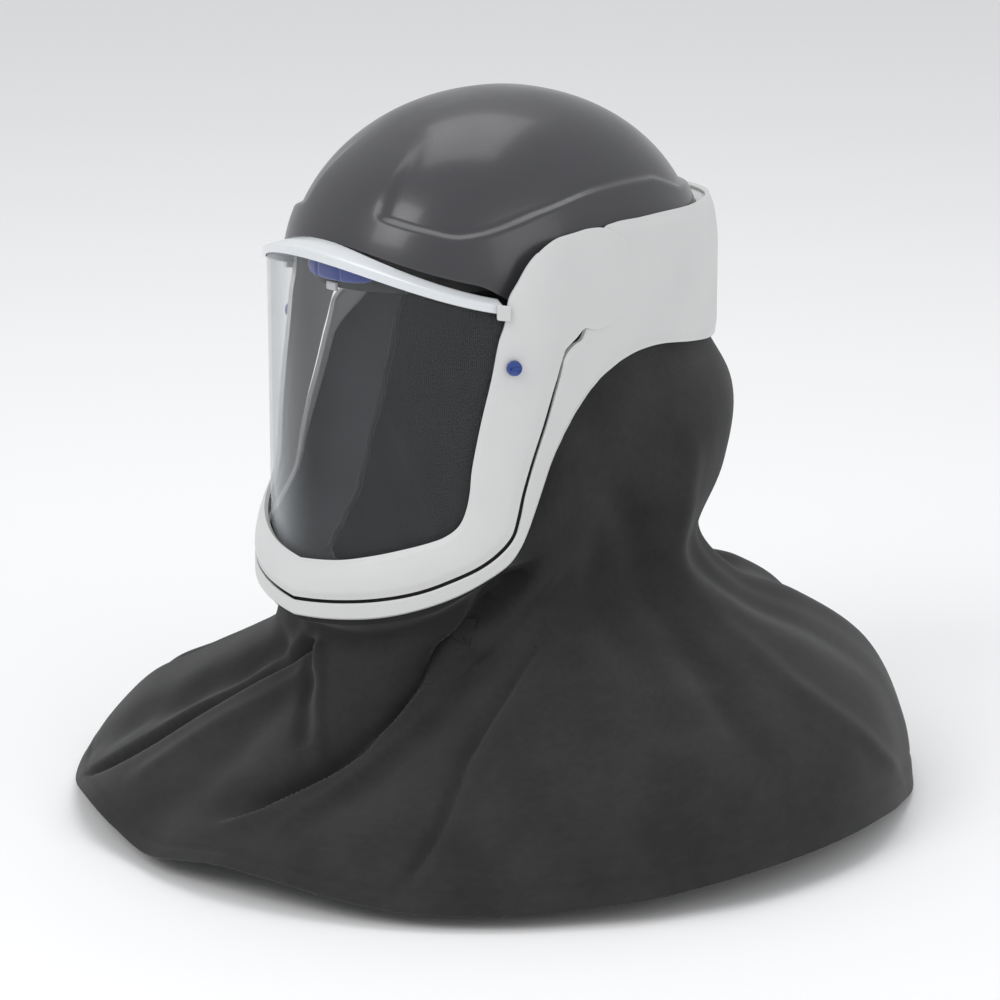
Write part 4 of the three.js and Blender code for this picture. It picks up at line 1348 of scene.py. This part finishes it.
@dataclass
class FaceSeal:
    """Coated cloth from the chin strip and temples in to the face, with an elastic edge."""

    wall_mm: float = 2.0
    inset_mm: float = 2.3
    columns: int = 220
    rows: int = 26
    flat: tuple[float, float] = (0.37, 0.08)
    area: float = 0.0215

    def edges(self, share: float) -> tuple[Vector, Vector]:
        """Outer and inner edge of the seal.

        Args:
            share: Place from the left temple round the chin to the right temple.

        Returns:
            The two points in metres.
        """
        half, side = side_of(share)
        out_around, out_z, in_x, in_y, in_z = rows_at(FACE_SEAL, half)
        proud = band_inside(out_around) - self.inset_mm
        start = SIDE.point(side * out_around, out_z * FRAME_HEIGHT, proud)
        end = Vector((
            side * in_x * SIDE.half_width,
            SIDE.centre_y + in_y * SIDE.front,
            in_z * FRAME_HEIGHT,
        )) * MM
        return start, end

    def surface(self, u: float, v: float) -> Vector:
        """Point of the cloth, with small puckers that grow towards the elastic."""
        start, end = self.edges(u)
        point = start.lerp(end, v)
        pucker = 0.8 * math.sin(u * 150 + 2 * math.sin(u * 31)) * v ** 2 * (1 - 0.3 * v)
        away = Vector((point.x, point.y + 0.05, 0)).normalized()
        return point + away * (pucker - 3.5 * math.sin(math.pi * v) * v) * MM

    def elastic(self, u: float, v: float) -> Vector:
        """Point of the rolled elastic edge, at u along and v round its section."""
        start, end = self.edges(u)
        inward = (end - start).normalized()
        ahead = self.edges(min(u + 0.004, 1.0))[1] - self.edges(max(u - 0.004, 0.0))[1]
        across = inward.cross(ahead.normalized()).normalized()
        turn = v * 2 * math.pi
        radius = (1.9 + 0.12 * math.sin(u * 420)) * MM
        centre = self.surface(u, 1.0) + inward * 0.6 * MM
        return centre + (inward * math.cos(turn) + across * math.sin(turn)) * radius

    def build(self) -> None:
        """Makes the seal and its elastic and ties them to the helmet."""
        bm = mapped_grid(self.columns, self.rows, self.surface, self.flat)
        face_out(bm, Vector((0, -0.02, -0.02)))
        seal = to_object(bm, "face_seal_cloth")
        wall(seal, self.wall_mm * 0.6)
        crisp(seal, 0.0)
        bm = mapped_grid(300, 14, self.elastic, (0.37, 0.012))
        ends = [edge for edge in bm.edges if edge.is_boundary]
        bmesh.ops.holes_fill(bm, edges=ends, sides=0)
        bmesh.ops.recalc_face_normals(bm, faces=bm.faces)
        roll = to_object(bm, "face_seal_elastic")
        crisp(roll, 0.0)
        dress(roll, BINDING_TAPE.make(), Body.HELMET, "seal_cloth")
        dress(seal, SEAL_CLOTH.make(), Body.HELMET, "seal_cloth", "face_seal")


@dataclass
class AirInlet:
    """Hose collar at the nape, with its flange and two grip ribs."""

    outer: float = 18
    bore: float = 14
    length: float = 36
    flange: float = 30
    flange_height: float = 4
    top: float = -38
    y: float = 120.35

    def build(self) -> None:
        """Spins the collar and ties it to the helmet."""
        foot = self.top - self.length
        shoulder = self.top - self.flange_height
        profile = [
            (self.bore, foot), (self.outer - 0.8, foot), (self.outer, foot + 0.8),
            (self.outer, foot + 8), (self.outer - 1.2, foot + 9), (self.outer - 1.2, foot + 12),
            (self.outer, foot + 13), (self.outer, foot + 20), (self.outer - 1.2, foot + 21),
            (self.outer - 1.2, foot + 24), (self.outer, foot + 25), (self.outer, shoulder - 1.5),
            (self.outer + 1.5, shoulder), (self.flange - 0.6, shoulder), (self.flange, shoulder + 0.6),
            (self.flange, self.top - 0.6), (self.flange - 0.6, self.top), (self.bore + 0.8, self.top),
            (self.bore, self.top - 0.8),
        ]
        bm = bmesh.new()
        verts = [bm.verts.new(Vector((radius, 0, z)) * MM) for radius, z in profile]
        edges = [bm.edges.new((a, b)) for a, b in zip(verts, verts[1:] + verts[:1])]
        bmesh.ops.spin(
            bm, geom=verts + edges, cent=(0, 0, 0), axis=(0, 0, 1), angle=2 * math.pi,
            steps=96, use_merge=True,
        )
        bmesh.ops.recalc_face_normals(bm, faces=bm.faces)
        bm.transform(Matrix.Translation((0, self.y * MM, 0)))
        piece = to_object(bm, "air_inlet_collar")
        crisp(piece, 0.0)
        dress(piece, BLACK_PA.make(), Body.HELMET, "black_plastic", "air_inlet")


def band_inside(around: float) -> float:
    """How far the inner face of the band lies out from the side surface.

    Args:
        around: Angle round the face.

    Returns:
        The distance in millimetres.
    """
    rows = [(row[2], row[4], row[5]) for row in reversed(BAND_FRAME)]
    rise = look_up(rows, abs(around), 1)
    chin = look_up(rows, abs(around), 2)
    return lerp(3.7, FRAME_PROUD + CHIN_EXTRA_PROUD * chin, rise) - 3.0


def curve_points(route: Sequence[Vector], count: int) -> list[Vector]:
    """Evenly spaced points of a centripetal Catmull-Rom curve.

    Args:
        route: Points that the curve passes through.
        count: How many points to return.

    Returns:
        The points, from the first of the route to the last.
    """
    ends = [route[0] * 2 - route[1], *route, route[-1] * 2 - route[-2]]
    fine = []
    for p0, p1, p2, p3 in zip(ends, ends[1:], ends[2:], ends[3:]):
        d0, d1, d2 = (max((b - a).length ** 0.5, 1e-4) for a, b in ((p0, p1), (p1, p2), (p2, p3)))
        t1 = ((p1 - p0) / d0 - (p2 - p0) / (d0 + d1) + (p2 - p1) / d1) * d1
        t2 = ((p2 - p1) / d1 - (p3 - p1) / (d1 + d2) + (p3 - p2) / d2) * d1
        for k in range(12):
            w = k / 12
            fine.append(
                p1 + t1 * w + (3 * (p2 - p1) - 2 * t1 - t2) * w ** 2
                + (2 * (p1 - p2) + t1 + t2) * w ** 3
            )
    fine.append(route[-1])
    lengths = [0.0]
    for a, b in zip(fine, fine[1:]):
        lengths.append(lengths[-1] + (b - a).length)
    points = []
    for share in even_shares(lengths, count - 1):
        place = min(share * (len(fine) - 1), len(fine) - 1.0)
        i = min(int(place), len(fine) - 2)
        points.append(fine[i].lerp(fine[i + 1], place - i))
    return points


@dataclass(frozen=True)
class Crease:
    """Sharp fold or ridge of the shroud, along a track of height and angle."""

    track: tuple[Row, ...]
    depth: float
    width: float
    far_share: float = 1.0

    def push(self, around: float, point: Vector) -> float:
        """How far the crease pushes a point of the cloth inwards.

        Args:
            around: Angle of the point round the wearer.
            point: The point in metres.

        Returns:
            The depth in millimetres.
        """
        z = point.z / MM
        low, high = self.track[0][0], self.track[-1][0]
        if not low < z < high:
            return 0.0
        share = (z - low) / (high - low)
        fade = smooth(share / 0.16) * smooth((1 - share) / 0.16)
        turn = (around - look_up(self.track, z, eased=True) + 180) % 360 - 180
        width = self.width * (self.far_share if turn > 0 else 1.0)
        away = math.radians(turn) * math.hypot(point.x, point.y) / MM / width
        return self.depth * fade * math.exp(-away * away) if abs(away) < 4 else 0.0


CREASES: tuple[Crease, ...] = (
    Crease(((-318, -30), (-298, -25), (-285, -22.5), (-263, -20.5), (-243, -17), (-223, -9), (-210, -3)), 13.0, 4.5, 1.8),
    Crease(((-305, -14), (-285, -12), (-263, -9), (-243, -4), (-220, 2)), -2.6, 9.0),
    Crease(((-266, 13), (-257, 10.5), (-242, 2.7), (-225, -5.5), (-214, -9)), 4.5, 6.5),
    Crease(((-272, 20), (-262, 16.2), (-255, 13.9), (-244, 8.7), (-232, 2.9), (-214, -2)), -3.2, 4.5),
    Crease(((-304, 6.4), (-290, 11.1), (-264, 21.5), (-248, 25.6), (-217, 36.1), (-184, 50.4), (-150, 64.4)), 17.0, 17.0, 0.3),
    Crease(((-300, 17), (-280, 23), (-250, 33), (-217, 45), (-184, 59), (-150, 72)), -3.5, 7.0),
    Crease(((-322, 37), (-309, 38.7), (-285, 42.1), (-267, 44), (-251, 46.1), (-225, 53.8), (-190, 67)), 4.6, 3.6),
    Crease(((-322, 40), (-309, 41.4), (-285, 45), (-267, 47.3), (-251, 49.8), (-225, 58.4), (-190, 72)), -1.8, 4.2),
    Crease(((-262, 87), (-249, 88.9), (-227, 93.9), (-205, 100), (-174, 101), (-143, 95.8), (-114, 86.6)), 5.0, 13.0),
    Crease(((-325, 126), (-266, 112), (-237, 107), (-217, 110.7), (-180, 117), (-126, 118), (-77, 118)), -2.0, 11.0),
    Crease(((-320, -66), (-280, -62), (-245, -57), (-215, -50), (-180, -44)), 4.5, 8.0),
    Crease(((-320, -99), (-270, -101), (-220, -104), (-170, -98), (-120, -92)), 4.0, 10.0),
    Crease(((-325, -140), (-260, -138), (-215, -139), (-160, -142), (-90, -145)), 4.5, 11.0),
    Crease(((-325, 176), (-260, 178), (-215, 175), (-160, 170), (-90, 168)), -3.5, 12.0),
)


@dataclass
class Shroud:
    """Cloth shroud from the band's lower edge over the shoulders, with a stitched hem."""

    hem_radius: float = 265.0
    hem_drop: float = 330.0
    tuck: float = 3.5
    edge_dip: float = 0.9
    shoulder_reach: float = 3.2
    wall_mm: float = 1.4
    columns: int = 560
    rows: int = 84
    hem_mm: float = 16.0
    flat: tuple[float, float] = (1.25, 0.56)
    area: float = 0.352

    def wide_fold(self, around: float, down: float) -> float:
        """Depth of the wide folds at an angle and a share down, in millimetres."""
        total = 0.0
        for top_at, hem_at, start, end, depth, width in SHROUD_FOLDS:
            share = min(1.0, max(0.0, (down - start) / (end - start)))
            turn = (around - lerp(top_at, hem_at, share) + 180) % 360 - 180
            away = turn / width
            total += depth * self.hem_radius * math.exp(-away * away) * math.sin(math.pi * share)
        return total

    def section_point(self, row: Row, around: float) -> tuple[float, float]:
        """Radius and height of a section at an angle, in millimetres."""
        down, front_r, front_z, side_r, left_z, right_z, back_r, back_z = row
        c, s = math.cos(math.radians(around)), math.sin(math.radians(around))
        end_r, end_z = (front_r, front_z) if c > 0 else (back_r, back_z)
        blend = 1 - abs(s) ** (self.shoulder_reach if c > 0 else 2)
        radius = lerp(side_r, end_r, blend) * self.hem_radius
        lift = look_up(HEM_LIFT, around, eased=True) * down ** 4
        return radius, (lift - lerp(left_z if s > 0 else right_z, end_z, blend)) * self.hem_drop

    def collar(self, around: float, up: float) -> Vector:
        """Point of the shroud's top edge, a distance above or below it."""
        height = look_up(SHROUD_TOP, abs(around), eased=True) * FRAME_HEIGHT
        return SIDE.point(around, height + up, band_inside(around) - self.edge_dip - GAP * 2)

    def column(self, around: float) -> list[Vector]:
        """Points of the cloth down from the band at one angle, the tucked edge first."""
        start = self.collar(around, -self.tuck)
        direction = math.degrees(math.atan2(start.x, -start.y))
        route = [start]
        for row in SHROUD_ROWS:
            turn = lerp(direction, around, min(1.0, row[0] * 1.6))
            radius, z = self.section_point(row, turn)
            fold = self.wide_fold(turn, row[0])
            angle = math.radians(turn)
            radius -= fold
            route.append(Vector((radius * math.sin(angle), -radius * math.cos(angle), z - fold * 0.3)) * MM)
        return [self.collar(around, self.tuck), *curve_points(route, self.rows)]

    def cloth(self) -> list[list[Vector]]:
        """Columns of the finished cloth, with its creases, ripples and hem pressed in."""
        columns = [self.column(i / self.columns * 360 - 180) for i in range(self.columns)]
        shaped = []
        for i, column in enumerate(columns):
            before, after = columns[i - 1], columns[(i + 1) % self.columns]
            moved = [column[0], column[1]]
            for j in range(2, len(column)):
                below = column[min(j + 1, len(column) - 1)]
                normal = (after[j] - before[j]).cross(below - column[j - 1]).normalized()
                if normal.dot(Vector((column[j].x, column[j].y, 0))) < 0:
                    normal.negate()
                around = math.degrees(math.atan2(column[j].x, -column[j].y))
                down = (j - 1) / (len(column) - 2)
                push = sum(crease.push(around, column[j]) for crease in CREASES)
                push += self.ripple(around, down) + self.hem(down)
                moved.append(column[j] - normal * push * smooth(down / 0.06) * MM)
            shaped.append(moved)
        return shaped

    def ripple(self, around: float, down: float) -> float:
        """Soft undulation of the hanging cloth, in millimetres."""
        a = math.radians(around)
        near = math.sin(9 * a + 2.5 * math.sin(2 * a) + 3 * down)
        far = math.sin(17 * a + 4 * down + 1.7 * math.sin(5 * a))
        return (1.1 * near + 0.5 * far) * smooth(down / 0.5)

    def hem(self, down: float) -> float:
        """Pressed-in stitch line above the hem and the rolled edge, in millimetres."""
        length = 340.0
        above = (1 - down) * length
        stitch = 0.7 * math.exp(-((above - self.hem_mm) / 1.6) ** 2)
        return stitch - 0.5 * smooth((self.hem_mm - above) / 4)

    def build(self) -> None:
        """Makes the shroud and ties it to the helmet."""
        columns = self.cloth()

        def surface(u: float, v: float) -> Vector:
            """Point of the cloth at u round and v down."""
            return columns[round(u * self.columns) % self.columns][round(v * self.rows)]

        bm = mapped_grid(self.columns, self.rows, surface, (1.2, 0.34))
        face_out(bm, Vector((0, 0, -0.25)))
        cloth = to_object(bm, "shroud_cloth")
        wall(cloth, self.wall_mm)
        crisp(cloth, 0.0, math.radians(60))
        dress(cloth, SHROUD_CLOTH.make(), Body.HELMET, "shroud_cloth", "shroud")


@dataclass(frozen=True)
class Studio:
    """Pale floor, soft lights and the camera."""

    target: tuple[float, float, float] = (0.0, 0.005, -0.1529)
    azimuth: float = 50.0
    elevation: float = 15.0
    distance: float = 2.2
    lens_mm: float = 126.72
    floor_z: float = -0.334

    def camera(self) -> None:
        """Makes the camera at the photograph's viewing angle."""
        a, e = math.radians(self.azimuth), math.radians(self.elevation)
        back = Vector((math.sin(a) * math.cos(e), -math.cos(a) * math.cos(e), math.sin(e)))
        data = bpy.data.cameras.new("camera")
        data.lens = self.lens_mm
        data.sensor_width = 36
        eye = bpy.data.objects.new("camera", data)
        eye.location = Vector(self.target) + back * self.distance
        eye.rotation_euler = (-back).to_track_quat("-Z", "Y").to_euler()
        bpy.context.scene.collection.objects.link(eye)
        bpy.context.scene.camera = eye

    def floor(self) -> None:
        """Makes the pale floor."""
        bm = bmesh.new()
        bmesh.ops.create_grid(
            bm, x_segments=4, y_segments=4, size=6,
            matrix=Matrix.Translation((0, 0, self.floor_z)),
        )
        floor = to_object(bm, "floor")
        material = bpy.data.materials.new("painted board pale matt")
        material.use_nodes = True
        shader = material.node_tree.nodes["Principled BSDF"]
        shader.inputs["Base Color"].default_value = srgb("f4f4f4")
        shader.inputs["Roughness"].default_value = 0.9
        floor.data.materials.append(material)

    def lamp(self, name: str, place: Row, size: float, power: float) -> None:
        """Soft square light aimed at the helmet.

        Args:
            name: Name of the light.
            place: Its place in metres.
            size: Side of the square in metres.
            power: Its power in watts.
        """
        data = bpy.data.lights.new(name, "AREA")
        data.size = size
        data.energy = power
        lamp = bpy.data.objects.new(name, data)
        lamp.location = place
        aim = Vector((0, 0, -0.1)) - Vector(place)
        lamp.rotation_euler = aim.to_track_quat("-Z", "Y").to_euler()
        bpy.context.scene.collection.objects.link(lamp)

    def build(self) -> None:
        """Makes the camera, the floor and the lights."""
        self.camera()
        self.floor()
        world = bpy.data.worlds.new("studio")
        world.use_nodes = True
        world.node_tree.nodes["Background"].inputs["Color"].default_value = srgb("f2f3f5")
        world.node_tree.nodes["Background"].inputs["Strength"].default_value = 0.8
        bpy.context.scene.world = world
        bpy.context.scene.view_settings.view_transform = "Standard"
        self.lamp("key", (0.1, -2.2, 1.7), 1.4, 24)
        self.lamp("fill", (2.4, 0.4, 0.9), 1.6, 9)
        self.lamp("top", (-0.4, 0.4, 2.2), 1.6, 15)


def main() -> None:
    """Builds the helmet on its frame and lights it."""
    logging.basicConfig(level=logging.INFO, format="%(message)s")
    Studio().build()
    suspension = Suspension()
    for part in (CrownShell(), Band(), VisorFrame(), VisorRail(), Lens(), LensLocks()):
        part.build()
    suspension.build()
    BrowPad().build(suspension)
    for part in (FaceSeal(), AirInlet(), Shroud()):
        part.build()
    black = BLACK_PA.make()
    for name in ("pivot_pin_left", "pivot_pin_right"):
        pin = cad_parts[name]
        pin.data.materials.clear()
        pin.data.materials.append(black)
        LOG.info("%s: CAD node kept", name)


if __name__ == "__main__":
    main()
